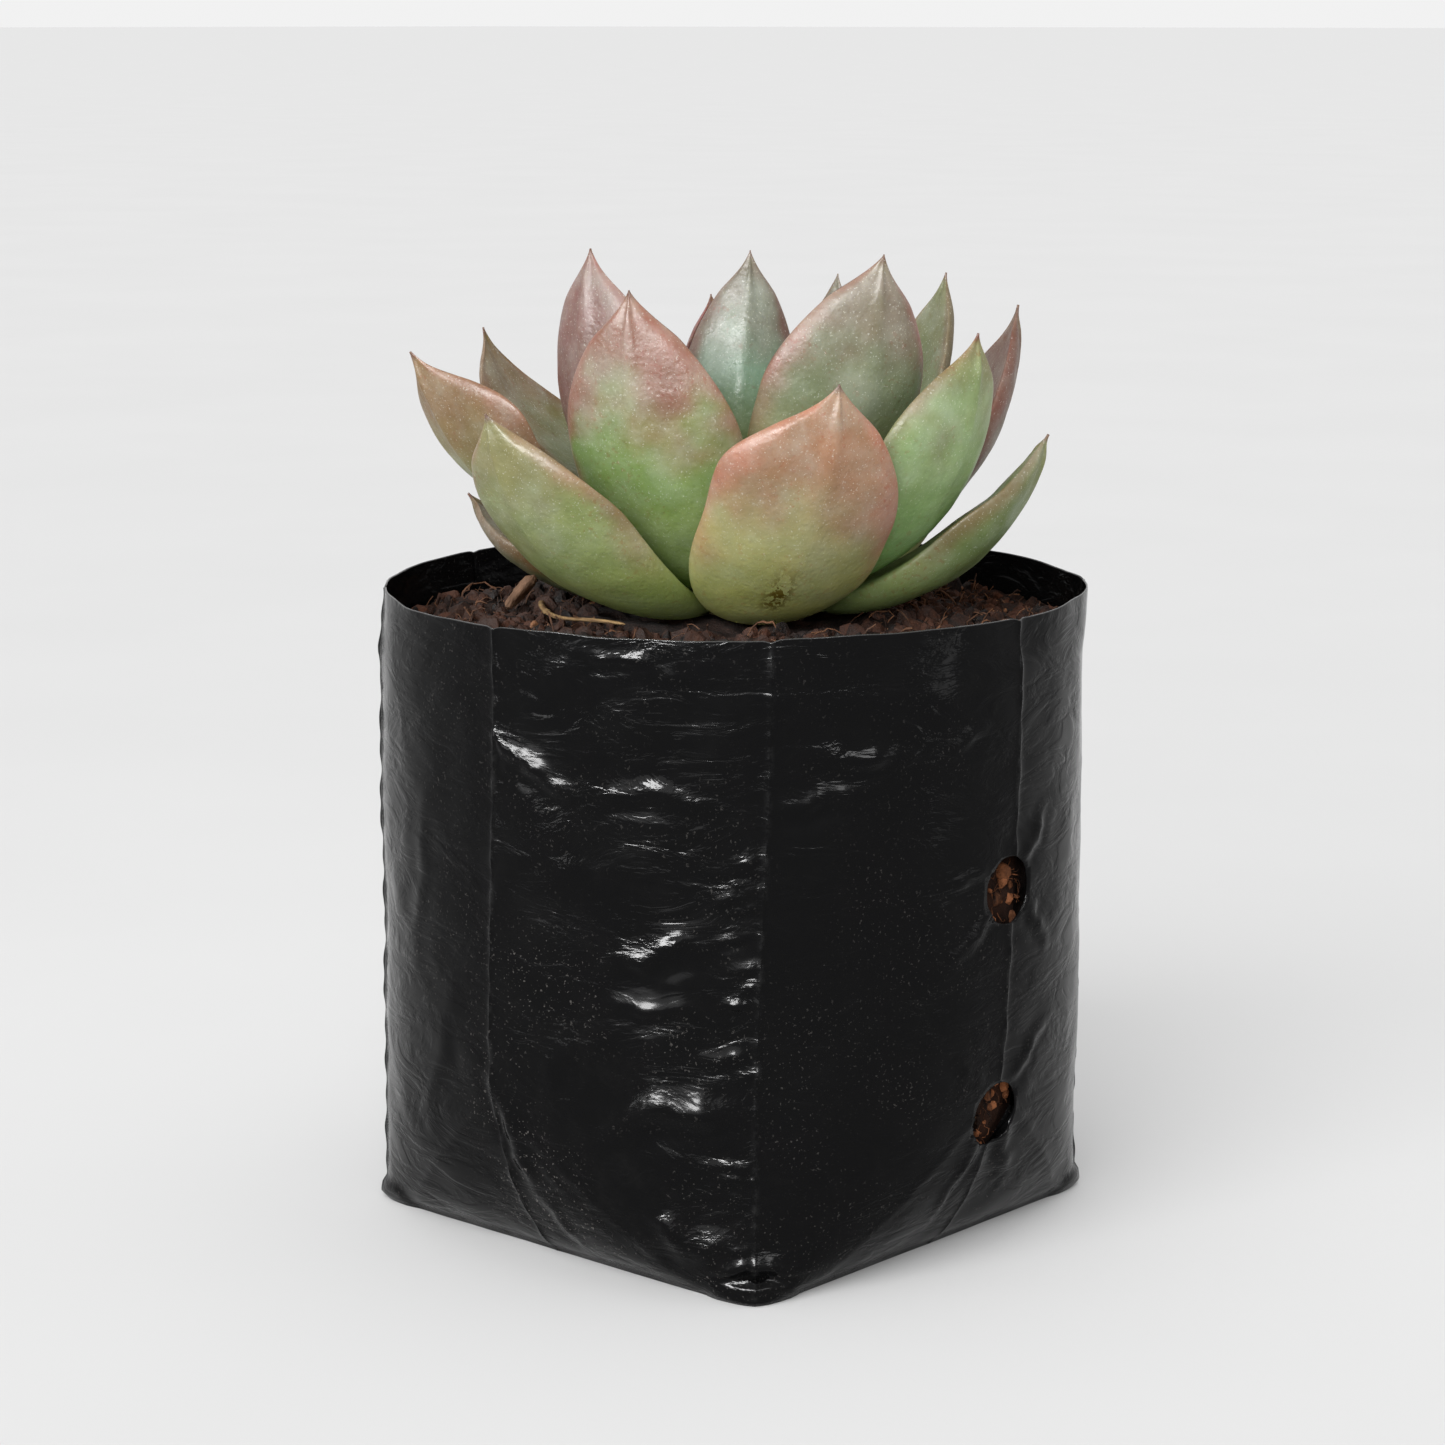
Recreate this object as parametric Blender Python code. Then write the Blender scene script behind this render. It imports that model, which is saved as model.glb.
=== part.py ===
"""Potted succulent: a rosette of fleshy leaves growing in a gusseted film grow bag.

Units are metres, +Z up. The origin is the middle of the bag's flat base, and the bag's four faces look
along +X, -X, +Y and -Y. A bearing is measured in degrees from -Y towards +X, so the bag's corners stand at
45, 135, 225 and 315 degrees.
"""

import math

import bmesh
import bpy
from mathutils import Matrix, Vector

MM = 0.001

# Grow bag: a film tube, round where it is open and square where it stands.
MOUTH_RADIUS = 48.5 * MM
BAG_HEIGHT = 87.5 * MM
FILM = 0.4 * MM
CORNER_REACH = 48.5 * MM
EAR_REACH = 0.8 * MM
EAR_HEIGHT = 3.0 * MM
SQUARE_SHARE = 0.285
SQUARING_HEIGHT = 9.4 * MM
HEEL = 0.8 * MM
BAG_STEPS = 56
BAG_LEVELS = 12
LEVEL_CROWDING = 1.8

# Drain holes, punched in pairs through the two opposite panels, on their middle folds.
HOLE_RADIUS = 4.4 * MM
HOLE_HEIGHTS = (21.0 * MM, 51.5 * MM)

# Clearance between pieces that touch.
GAP = 0.3 * MM

# Potting mix.
SOIL_SLACK = 1.0 * MM
SOIL_EDGE_DEPTH = 6.2 * MM
SOIL_MOUND = 2.0 * MM
SOIL_MOUND_POWER = 2.2
SOIL_RINGS = 6

# Stem and main root. The plant stands a little to one side of the bag's axis. The leaves of a whorl stand
# side by side round the stem, so its girth follows from the width of a leaf where it grows.
LEAF_SEAT_WIDTH = 5.6 * MM
PLANT_PLACE = Vector((1.6 * MM, 1.6 * MM, 0.0))
STEM_RADIUS = LEAF_SEAT_WIDTH / 0.7
STEM_SHOULDER = 7.0 * MM
STEM_DOME = 8.0 * MM
STEM_DOME_POWER = 0.7
ROOT_DEPTH = 26.0 * MM
ROOT_TIP_RADIUS = 1.6 * MM
ROOT_SLACK = 0.45 * MM
STEM_STEPS = 24

# Dry stalk on the soil: it runs round the plant at one distance from the bag's axis.
STRAW_FROM = 303.0
STRAW_TO = 369.0
STRAW_DISTANCE = 26.5 * MM
STRAW_RADIUS = 0.5 * MM
STRAW_ARCH = 0.8 * MM
STRAW_RINGS = 8
STRAW_SIDES = 8

# Leaves. Shares are of a leaf's own length, from its foot to its tip.
LEAF_SIDES = 12
LEAF_RINGS = 11
LEAF_SEAT_THICKNESS = 2.6 * MM
SEAT_WIDTH_SHARE = 0.42
SEAT_THICKNESS_SHARE = 0.7
START_PULL = 0.38
END_PULL = 0.36
WIDEST_FROM = 0.45
WIDEST_TO = 0.56
WIDENING_POWER = 0.8
TAPER_POWER = 2.1
TIP_PINCH = 0.12
OUTER_FLESH = 0.66
TIP_RADIUS = 0.25 * MM
TIP_CROWDING = 1.12

SOIL_TOP = BAG_HEIGHT - SOIL_EDGE_DEPTH + SOIL_MOUND


def ray(bearing):
    """The horizontal unit vector at a bearing in degrees."""
    angle = math.radians(bearing)
    return Vector((math.sin(angle), -math.cos(angle), 0.0))


def material(name, colour, roughness, metallic=0.0):
    """A plain Principled material, made once for each name."""
    found = bpy.data.materials.get(name)
    if found:
        return found
    made = bpy.data.materials.new(name)
    made.use_nodes = True
    shader = made.node_tree.nodes["Principled BSDF"]
    shader.inputs["Base Color"].default_value = (*colour, 1.0)
    shader.inputs["Roughness"].default_value = roughness
    shader.inputs["Metallic"].default_value = metallic
    return made


def film_black():
    return material("film_black", (0.012, 0.012, 0.013), 0.28)


def potting_mix():
    return material("potting_mix", (0.065, 0.028, 0.014), 0.95)


def leaf_green():
    return material("leaf_green", (0.27, 0.36, 0.17), 0.5)


def stem_green():
    return material("stem_green", (0.30, 0.30, 0.16), 0.7)


def bark_brown():
    return material("bark_brown", (0.22, 0.10, 0.05), 0.85)


def straw_yellow():
    return material("straw_yellow", (0.42, 0.27, 0.11), 0.75)


def add_object(name, mesh, finish, parent, smooth=True):
    """Links a mesh as a named object with its material, as a child of the assembly's empty."""
    made = bpy.data.objects.new(name, mesh)
    bpy.context.scene.collection.objects.link(made)
    mesh.materials.append(finish)
    if smooth:
        mesh.shade_smooth()
    made.parent = parent
    return made


def mesh_of_rings(name, rings, first_pole=None, last_pole=None):
    """A closed skin over rings of points, all as long, run anticlockwise seen from beyond the last ring.

    An end is closed to a pole point where one is given, or else with one flat face.
    """
    form = bmesh.new()
    loops = [[form.verts.new(point) for point in ring] for ring in rings]
    count = len(loops[0])
    for lower, upper in zip(loops, loops[1:]):
        for i in range(count):
            j = (i + 1) % count
            form.faces.new((lower[i], lower[j], upper[j]))
            form.faces.new((lower[i], upper[j], upper[i]))
    for loop, pole, backwards in ((loops[0], first_pole, True), (loops[-1], last_pole, False)):
        if pole is None:
            form.faces.new(loop[::-1] if backwards else loop)
            continue
        centre = form.verts.new(pole)
        for i in range(count):
            edge = (loop[i], loop[(i + 1) % count])
            form.faces.new((*(edge[::-1] if backwards else edge), centre))
    bmesh.ops.recalc_face_normals(form, faces=form.faces)
    mesh = bpy.data.meshes.new(name)
    form.to_mesh(mesh)
    form.free()
    return mesh


# ---------------------------------------------------------------- grow bag


def bag_radius(bearing, height):
    """The bag's outer radius: a superellipse that is round at the mouth and square at the base.

    The panel's middle stands in from the corners by a share that fades upwards, and the superellipse's
    power follows from that share: 2 is a circle, and it grows without end towards a square.
    """
    reach = CORNER_REACH + (MOUTH_RADIUS - CORNER_REACH) * height / BAG_HEIGHT
    reach += EAR_REACH * math.exp(-height / EAR_HEIGHT)
    share = 1.0 - SQUARE_SHARE * math.exp(-height / SQUARING_HEIGHT)
    power = math.log(2.0) / math.log(math.sqrt(2.0) * share)
    away = ray(bearing)
    return reach * share / (abs(away.x) ** power + abs(away.y) ** power) ** (1.0 / power)


def bag_ring(height, inset, steps=BAG_STEPS):
    """The bag's outline at a height, moved inwards by an inset."""
    ring = []
    for i in range(steps):
        bearing = 45.0 + 360.0 * i / steps
        point = ray(bearing) * (bag_radius(bearing, height) - inset)
        point.z = height
        ring.append(point)
    return ring


def bag_heights():
    """Heights of the bag's rings, closer together near the base, where the outline changes most."""
    top = BAG_HEIGHT - HEEL
    return [HEEL + top * (i / BAG_LEVELS) ** LEVEL_CROWDING for i in range(BAG_LEVELS + 1)]


def heel_ring(inset, height):
    """The flat base's own outline, drawn in from the wall by the heel's rounding."""
    ring = bag_ring(HEEL, HEEL + inset)
    for point in ring:
        point.z = height
    return ring


def build_grow_bag(parent):
    """The film bag: outer skin, mouth edge, inner skin and a flat floor, with the punched drain holes."""
    levels = bag_heights()
    outer = [heel_ring(0.0, 0.0)] + [bag_ring(z, 0.0) for z in levels]
    inner = [bag_ring(z, FILM) for z in reversed(levels)]
    inner.append(heel_ring(FILM, FILM))
    bag = add_object("grow_bag", mesh_of_rings("grow_bag", outer + inner), film_black(), parent)
    for number, (bearing, height) in enumerate(drain_holes()):
        punch = drain_punch(f"drain_punch_{number}", bearing, height)
        cut = bag.modifiers.new(f"drain_hole_{number}", "BOOLEAN")
        cut.operation = "DIFFERENCE"
        cut.object = punch
    return bag


def drain_holes():
    """(bearing, height) of each drain hole: both panels carry the same pair, mirrored by the punch."""
    return [(bearing, height) for bearing in (90.0, 270.0) for height in HOLE_HEIGHTS]


def drain_punch(name, bearing, height):
    """The cylinder that punches one drain hole, set square to its panel. It is a cutter, never shown."""
    form = bmesh.new()
    bmesh.ops.create_cone(
        form, cap_ends=True, segments=16, radius1=HOLE_RADIUS, radius2=HOLE_RADIUS, depth=12.0 * MM
    )
    mesh = bpy.data.meshes.new(name)
    form.to_mesh(mesh)
    form.free()
    punch = bpy.data.objects.new(name, mesh)
    bpy.context.scene.collection.objects.link(punch)
    away = ray(bearing)
    punch.location = away * bag_radius(bearing, height)
    punch.location.z = height
    punch.rotation_euler = away.to_track_quat("Z", "Y").to_euler()
    punch.hide_render = True
    punch.display_type = "WIRE"
    return punch


# ---------------------------------------------------------------- soil, stem and root


def soil_height(share):
    """The potting mix's height at a share of the way from the middle to the wall."""
    return SOIL_TOP - SOIL_MOUND * share**SOIL_MOUND_POWER


def build_soil(parent, stem):
    """The potting mix: it fills the bag to a little under the mouth and is pressed round the root."""
    inset = FILM + SOIL_SLACK
    wall_top = soil_height(1.0)
    levels = [z for z in bag_heights() if z < wall_top - 2.0 * MM] + [wall_top]
    rings = [heel_ring(inset, FILM + GAP)] + [bag_ring(z, inset) for z in levels]
    for number in range(SOIL_RINGS - 1, 0, -1):
        share = number / SOIL_RINGS
        ring = [point * share for point in bag_ring(wall_top, inset)]
        for point in ring:
            point.z = soil_height(share)
        rings.append(ring)
    pole = Vector((0.0, 0.0, SOIL_TOP))
    soil = add_object("soil", mesh_of_rings("soil", rings, last_pole=pole), potting_mix(), parent)
    hollow = root_form("root_hollow", ROOT_SLACK)
    hollow.hide_render = True
    hollow.display_type = "WIRE"
    hollow.location = stem.location
    cut = soil.modifiers.new("root_hollow", "BOOLEAN")
    cut.operation = "DIFFERENCE"
    cut.object = hollow
    return soil


def stem_radius(height):
    """The stem's radius at a height over the soil: straight up to the shoulder, then a pointed dome."""
    rise = min(max(height - STEM_SHOULDER, 0.0) / STEM_DOME, 1.0)
    return STEM_RADIUS * (1.0 - rise) ** STEM_DOME_POWER


def stem_profile(spread):
    """(radius, height) down the stem and main root, from the dome's top ring to the root's tip."""
    rises = (0.95, 0.8, 0.6, 0.4, 0.2, 0.0)
    dome = [STEM_SHOULDER + STEM_DOME * rise for rise in rises]
    profile = [(stem_radius(height), height) for height in dome]
    profile += [
        (STEM_RADIUS, 0.0),
        (STEM_RADIUS * 0.9, -0.2 * ROOT_DEPTH),
        (STEM_RADIUS * 0.55, -0.45 * ROOT_DEPTH),
        (ROOT_TIP_RADIUS, -ROOT_DEPTH),
    ]
    return [(radius + spread, height) for radius, height in profile]


def root_form(name, spread):
    """The stem's turned shape as an object, swollen by a spread to cut its hollow in the soil."""
    rings = []
    for radius, height in stem_profile(spread):
        turn = [360.0 * i / STEM_STEPS for i in range(STEM_STEPS)]
        rings.append([ray(bearing) * radius + Vector((0.0, 0.0, height)) for bearing in turn])
    top = Vector((0.0, 0.0, STEM_SHOULDER + STEM_DOME + spread))
    foot = Vector((0.0, 0.0, -ROOT_DEPTH - 1.5 * MM - spread))
    made = bpy.data.objects.new(name, mesh_of_rings(name, rings, top, foot))
    bpy.context.scene.collection.objects.link(made)
    return made


def build_stem(parent):
    """The short domed stem that every leaf sits on, with its main root below."""
    stem = root_form("stem", 0.0)
    stem.data.materials.append(stem_green())
    stem.data.shade_smooth()
    stem.parent = parent
    stem.location = PLANT_PLACE + Vector((0.0, 0.0, SOIL_TOP))
    return stem


# ---------------------------------------------------------------- leaves


class Leaf:
    """One leaf, set by where it sits on the stem and where its tip ends.

    Lengths are in millimetres and angles in degrees. turn is the tip's bearing from the stem, reach its
    distance from the stem's axis and top its height over the soil. seat is the height at which it grows
    from the stem and sweep how far its foot is turned back from its tip. rise and lift are the slopes of
    its first and last parts, and roll is how far its tip is turned about its own line.
    """

    def __init__(
        self, name, turn, reach, top, seat, width, rise, lift, sweep=0, roll=0, thick=5.2, cup=0.16
    ):
        self.name = name
        self.turn = turn
        self.reach = reach * MM
        self.top = top * MM
        self.seat = seat * MM
        self.width = width * MM
        self.rise = rise
        self.lift = lift
        self.sweep = sweep
        self.roll = roll
        self.thick = thick * MM
        self.cup = cup

    def foot(self):
        """The leaf's first point, a gap off the stem, and the direction it grows in."""
        out = ray(self.turn - self.sweep)
        slope = math.radians(self.rise)
        away = out * math.cos(slope) + Vector((0.0, 0.0, math.sin(slope)))
        lean = 0.5 * self.seat_thickness() * math.sin(slope)
        place = out * (stem_radius(self.seat - lean) + GAP + lean)
        place.z = self.seat
        return place, away

    def line(self):
        """The four control points of the leaf's middle line, a cubic curve."""
        start, away = self.foot()
        end = ray(self.turn) * self.reach + Vector((0.0, 0.0, self.top))
        span = (end - start).length
        slope = math.radians(self.lift)
        arrive = ray(self.turn) * math.cos(slope) + Vector((0.0, 0.0, math.sin(slope)))
        return start, start + away * span * START_PULL, end - arrive * span * END_PULL, end

    def half_width(self, share):
        """Half the leaf's width at a share of its length: narrow foot, broad middle, pointed tip."""
        half = self.width / 2
        seat = min(LEAF_SEAT_WIDTH / 2, half * SEAT_WIDTH_SHARE)
        grown = math.sin(0.5 * math.pi * min(share / WIDEST_FROM, 1.0) ** WIDENING_POWER)
        fall = max(share - WIDEST_TO, 0.0) / (1.0 - WIDEST_TO)
        taper = (1.0 - fall**TAPER_POWER) * (1.0 - TIP_PINCH * fall**2)
        return max((seat + (half - seat) * grown) * taper, TIP_RADIUS)

    def seat_thickness(self):
        """The flesh's thickness where the leaf leaves the stem."""
        return min(LEAF_SEAT_THICKNESS, self.thick * SEAT_THICKNESS_SHARE)

    def thickness(self, share):
        """The flesh's thickness at a share of the length."""
        swell = math.sin(math.pi * min(share, 0.97)) ** 0.7
        seat = self.seat_thickness()
        thick = seat * (1.0 - share) + (self.thick - 0.4 * seat) * swell
        return max(thick, 2.0 * TIP_RADIUS)

    def rings(self):
        """The leaf's outlines from foot to tip, and the tip point."""
        a, b, c, d = self.line()
        side_at_foot = ray(self.turn - self.sweep + 90.0)
        side_at_tip = ray(self.turn + 90.0)
        found = []
        for number in range(LEAF_RINGS):
            share = 1.0 - (1.0 - number / LEAF_RINGS) ** TIP_CROWDING
            rest = 1.0 - share
            centre = a * rest**3 + b * 3 * rest**2 * share + c * 3 * rest * share**2 + d * share**3
            along = ((b - a) * rest**2 + (c - b) * 2 * rest * share + (d - c) * share**2).normalized()
            side = side_at_foot.lerp(side_at_tip, share)
            side = (side - along * side.dot(along)).normalized()
            side.rotate(Matrix.Rotation(math.radians(self.roll) * share, 3, along))
            found.append(self.ring(centre, side, along.cross(side), share))
        return found, d

    def ring(self, centre, side, inner, share):
        """One outline: cupped towards the rosette's middle, round and fuller on its outer side."""
        half, thick = self.half_width(share), self.thickness(share)
        cup = self.cup * math.sin(math.pi * min(share * 1.05, 1.0))
        ring = []
        for number in range(LEAF_SIDES):
            angle = 2.0 * math.pi * number / LEAF_SIDES
            across, depth = math.cos(angle), math.sin(angle)
            flesh = depth * thick * (1.0 - OUTER_FLESH if depth > 0.0 else OUTER_FLESH)
            ring.append(centre + side * across * half + inner * (flesh + cup * half * across**2))
        return ring


LEAVES = (
    # Outer leaves, which rest low over the soil.
    Leaf("leaf_outer_1", turn=61, reach=34.3, top=34.7, seat=2.4, width=25.5,
         rise=2, lift=76, sweep=15, roll=-6),
    Leaf("leaf_outer_2", turn=122, reach=41, top=25.5, seat=2.6, width=21, rise=0, lift=60),
    Leaf("leaf_outer_3", turn=181, reach=43, top=24, seat=2.5, width=22, rise=2, lift=52),
    Leaf("leaf_outer_4", turn=237, reach=42, top=22, seat=2.6, width=19, rise=2, lift=50),
    Leaf("leaf_outer_5", turn=294, reach=41.5, top=15, seat=2.8, width=18, rise=2, lift=45),
    Leaf("leaf_outer_6", turn=347, reach=42.4, top=30.1, seat=2.5, width=24,
         rise=2, lift=66, sweep=-2, roll=18),
    # Middle leaves.
    Leaf("leaf_middle_1", turn=8, reach=28.5, top=46.1, seat=5.8, width=25,
         rise=15, lift=84, sweep=-6, roll=15),
    Leaf("leaf_middle_2", turn=100, reach=35.2, top=40.1, seat=5.8, width=24,
         rise=15, lift=78, sweep=3, roll=-8),
    Leaf("leaf_middle_3", turn=150, reach=39.6, top=41.5, seat=5.8, width=20,
         rise=15, lift=78, sweep=-4, roll=-10),
    Leaf("leaf_middle_4", turn=203, reach=36, top=38, seat=5.8, width=19, rise=15, lift=72),
    Leaf("leaf_middle_5", turn=254, reach=40, top=35, seat=5.9, width=19,
         rise=15, lift=68, thick=4.8),
    Leaf("leaf_middle_6", turn=318, reach=46.2, top=36.5, seat=6.1, width=24,
         rise=15, lift=60, sweep=10, roll=36, thick=4.6),
    # Inner leaves.
    Leaf("leaf_inner_1", turn=80, reach=28, top=50.6, seat=8.8, width=25,
         rise=45, lift=75, sweep=5, roll=-26),
    Leaf("leaf_inner_2", turn=331, reach=22.6, top=50.5, seat=8.8, width=23.5,
         rise=35, lift=88, sweep=-15, roll=25),
    Leaf("leaf_inner_3", turn=160, reach=31.4, top=45.8, seat=9.4, width=18,
         rise=32, lift=78, sweep=-4, thick=4.4),
    Leaf("leaf_inner_4", turn=230, reach=27, top=40, seat=8.8, width=18, rise=35, lift=82),
    Leaf("leaf_inner_5", turn=287.5, reach=41, top=38, seat=8.8, width=18,
         rise=30, lift=74, sweep=0, thick=4.3),
    # Centre leaves, round the growing point.
    Leaf("leaf_centre_1", turn=42, reach=8.1, top=50.3, seat=11.4, width=16,
         rise=55, lift=90, sweep=12, thick=4.4),
    Leaf("leaf_centre_2", turn=170, reach=15.7, top=46, seat=12.2, width=14,
         rise=66, lift=84, sweep=6, thick=3.1),
    Leaf("leaf_centre_3", turn=255, reach=9.6, top=43.3, seat=11.4, width=13,
         rise=60, lift=84, thick=4.0),
    Leaf("leaf_centre_4", turn=321, reach=8, top=34, seat=12.8, width=11,
         rise=62, lift=92, thick=2.9),
    Leaf("leaf_centre_5", turn=98, reach=7.5, top=33, seat=12.6, width=11,
         rise=62, lift=92, thick=2.9),
    # Bud leaves, closed over the growing point.
    Leaf("leaf_bud_1", turn=20, reach=2.2, top=30, seat=15.4, width=6.6,
         rise=62, lift=102, thick=2.0),
    Leaf("leaf_bud_2", turn=140, reach=2.2, top=28, seat=15.4, width=6.6,
         rise=62, lift=102, thick=2.0),
    Leaf("leaf_bud_3", turn=260, reach=2.2, top=29, seat=15.4, width=6.6,
         rise=62, lift=102, thick=2.0),
)


def build_leaf(leaf, parent):
    """One leaf as a closed skin over its outlines, placed on the stem."""
    rings, tip = leaf.rings()
    made = add_object(leaf.name, mesh_of_rings(leaf.name, rings, last_pole=tip), leaf_green(), parent)
    made.location = PLANT_PLACE + Vector((0.0, 0.0, SOIL_TOP))
    return made


# ---------------------------------------------------------------- loose pieces on the soil


class Chip:
    """A flat broken chip of bark, set by where it lies and how it is tipped.

    Lengths are in millimetres and angles in degrees. bearing and distance place it from the bag's axis,
    lean tips it up from lying flat and turn swings it round.
    """

    SIDES = ((1.0, 0.0), (0.55, 0.8), (-0.35, 1.0), (-1.0, 0.35), (-0.8, -0.7), (0.1, -1.0), (0.8, -0.6))

    def __init__(self, name, bearing, distance, length, width, thick, lean, turn, above):
        self.name = name
        self.bearing = bearing
        self.distance = distance * MM
        self.length = length * MM
        self.width = width * MM
        self.thick = thick * MM
        self.lean = lean
        self.turn = turn
        self.above = above * MM

    def rings(self):
        """The chip's outlines through its thickness, smaller on both faces than in the middle."""
        found = []
        for level, share in ((-0.5, 0.78), (-0.2, 1.0), (0.25, 0.95), (0.5, 0.7)):
            ring = []
            for along, across in self.SIDES:
                x = along * share * self.length / 2
                y = across * share * self.width / 2
                ring.append(Vector((x, y, level * self.thick)))
            found.append(ring)
        return found

    def place(self):
        """The transform that leans, turns and moves the chip on to the soil."""
        lean = Matrix.Rotation(math.radians(self.lean), 4, "Y")
        turn = Matrix.Rotation(math.radians(self.turn), 4, "Z")
        spot = ray(self.bearing) * self.distance
        surface = soil_height(self.distance / MOUTH_RADIUS)
        spot.z = surface + self.above
        return Matrix.Translation(spot) @ turn @ lean


# Distance of the chips that lie by the bag's wall, in millimetres from its axis.
BY_THE_WALL = MOUTH_RADIUS / MM - 6.5

CHIPS = (
    Chip("bark_chip_1", bearing=308, distance=29.5, length=7.5, width=4.5,
         thick=1.4, lean=-50, turn=20, above=3.2),
    Chip("bark_chip_2", bearing=108, distance=BY_THE_WALL, length=7.0, width=4.5,
         thick=1.8, lean=14, turn=70, above=2.1),
    Chip("bark_chip_3", bearing=222, distance=BY_THE_WALL, length=8.0, width=5.0,
         thick=1.6, lean=10, turn=25, above=1.9),
)


def build_chip(chip, parent):
    """One bark chip lying on the potting mix."""
    made = add_object(chip.name, mesh_of_rings(chip.name, chip.rings()), bark_brown(), parent, smooth=False)
    made.matrix_world = chip.place()
    return made


def build_straw(parent):
    """A dry stalk lying on the potting mix in front of the leaves, bent a little along its length."""
    rings = []
    for number in range(STRAW_RINGS + 1):
        share = number / STRAW_RINGS
        bearing = STRAW_FROM + (STRAW_TO - STRAW_FROM) * share
        radius = STRAW_RADIUS * (1.0 - 0.35 * share)
        out = ray(bearing)
        middle = out * STRAW_DISTANCE
        middle.z = soil_height(STRAW_DISTANCE / MOUTH_RADIUS) + GAP + STRAW_RADIUS + STRAW_ARCH * share
        ring = []
        for step in range(STRAW_SIDES):
            angle = -2.0 * math.pi * step / STRAW_SIDES
            ring.append(middle + (out * math.cos(angle) + Vector((0.0, 0.0, math.sin(angle)))) * radius)
        rings.append(ring)
    return add_object("straw_stalk", mesh_of_rings("straw_stalk", rings), straw_yellow(), parent)


def clear_scene():
    """Removes what the file opened with."""
    for old in list(bpy.data.objects):
        bpy.data.objects.remove(old)


def main():
    clear_scene()
    plant_in_bag = bpy.data.objects.new("potted_succulent", None)
    bpy.context.scene.collection.objects.link(plant_in_bag)
    build_grow_bag(plant_in_bag)
    stem = build_stem(plant_in_bag)
    build_soil(plant_in_bag, stem)
    for leaf in LEAVES:
        build_leaf(leaf, plant_in_bag)
    for chip in CHIPS:
        build_chip(chip, plant_in_bag)
    build_straw(plant_in_bag)


main()
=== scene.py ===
"""A rosette succulent growing in a black film grow bag: its looks, its lights and its camera.

Lengths are in metres unless a comment says otherwise. Bearings are in degrees round the bag's axis:
0 looks out of the -Y panel and 90 out of the +X panel.
"""

import logging
import math
from dataclasses import dataclass
from enum import Enum
from typing import Optional, Sequence

import bmesh
import bpy
import numpy as np
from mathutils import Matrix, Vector


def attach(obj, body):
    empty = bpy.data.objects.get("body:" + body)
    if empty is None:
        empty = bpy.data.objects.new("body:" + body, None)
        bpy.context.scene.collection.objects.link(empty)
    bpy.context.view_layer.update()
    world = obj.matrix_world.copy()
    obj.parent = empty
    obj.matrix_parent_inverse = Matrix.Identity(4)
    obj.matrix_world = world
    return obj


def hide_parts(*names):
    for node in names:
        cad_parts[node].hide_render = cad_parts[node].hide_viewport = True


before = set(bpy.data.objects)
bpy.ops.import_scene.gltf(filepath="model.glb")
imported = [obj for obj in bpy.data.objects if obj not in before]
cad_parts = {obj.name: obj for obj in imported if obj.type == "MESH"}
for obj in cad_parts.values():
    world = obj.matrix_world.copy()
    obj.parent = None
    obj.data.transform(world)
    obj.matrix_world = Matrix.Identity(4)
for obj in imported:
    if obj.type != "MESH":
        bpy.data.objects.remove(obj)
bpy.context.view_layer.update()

LOG = logging.getLogger("succulent")

MM = 0.001  # one millimetre, in metres
ARC = 0.846  # millimetres of the bag's wall in one degree of bearing
LINES = tuple(45.0 * number for number in range(8))  # the bearings of the bag's pressed lines at its foot
DRIFT = 2.3  # how many degrees those lines swing between the foot and the mouth

Array = np.ndarray
Colour = tuple[float, float, float]
Mesh = bpy.types.Mesh
Thing = bpy.types.Object
Material = bpy.types.Material
Socket = bpy.types.NodeSocket


# ---------------------------------------------------------------- measures and helpers


def ray(bearing: Array | float) -> Array:
    """The level unit vector on a bearing."""
    angle = np.radians(np.asarray(bearing, float))
    return np.stack((np.sin(angle), -np.cos(angle), np.zeros_like(angle)), axis=-1)


def ease(value: Array | float, start: float, end: float) -> Array:
    """Rises smoothly from 0 at start to 1 at end."""
    t = np.clip((np.asarray(value, float) - start) / (end - start), 0.0, 1.0)
    return t * t * (3.0 - 2.0 * t)


def srgb(code: str) -> Colour:
    """A colour in linear light from its six-digit hex code."""
    parts = [int(code[i : i + 2], 16) / 255.0 for i in (0, 2, 4)]
    return tuple(p / 12.92 if p <= 0.04045 else ((p + 0.055) / 1.055) ** 2.4 for p in parts)


@dataclass(frozen=True)
class Lumps:
    """Smooth seeded bumps in space.

    Args:
        size: the distance from one bump to the next.
        seed: picks one pattern.
    """

    size: float
    seed: int = 0

    def at(self, points: Array) -> Array:
        """Heights from -1 to 1 at points of shape (..., 3).

        Args:
            points: where the bumps are read, shaped (..., 3).

        Returns:
            A height from -1 to 1 at each point.
        """
        where = points / self.size + 71.3 * (self.seed + 1)
        cell = np.floor(where).astype(np.int64)
        part = where - cell
        part = part * part * (3.0 - 2.0 * part)
        total = np.zeros(where.shape[:-1])
        for corner in range(8):
            step = np.array([(corner >> axis) & 1 for axis in range(3)])
            weight = np.prod(np.where(step == 1, part, 1.0 - part), axis=-1)
            key = cell + step
            code = (key[..., 0] * 73856093) ^ (key[..., 1] * 19349663) ^ (key[..., 2] * 83492791)
            code = (code ^ (code >> 13) ^ (self.seed * 7919)) * 1274126177
            code = (code ^ (code >> 16)) & 0xFFFF
            total += weight * (code / 32767.5 - 1.0)
        return total


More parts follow.
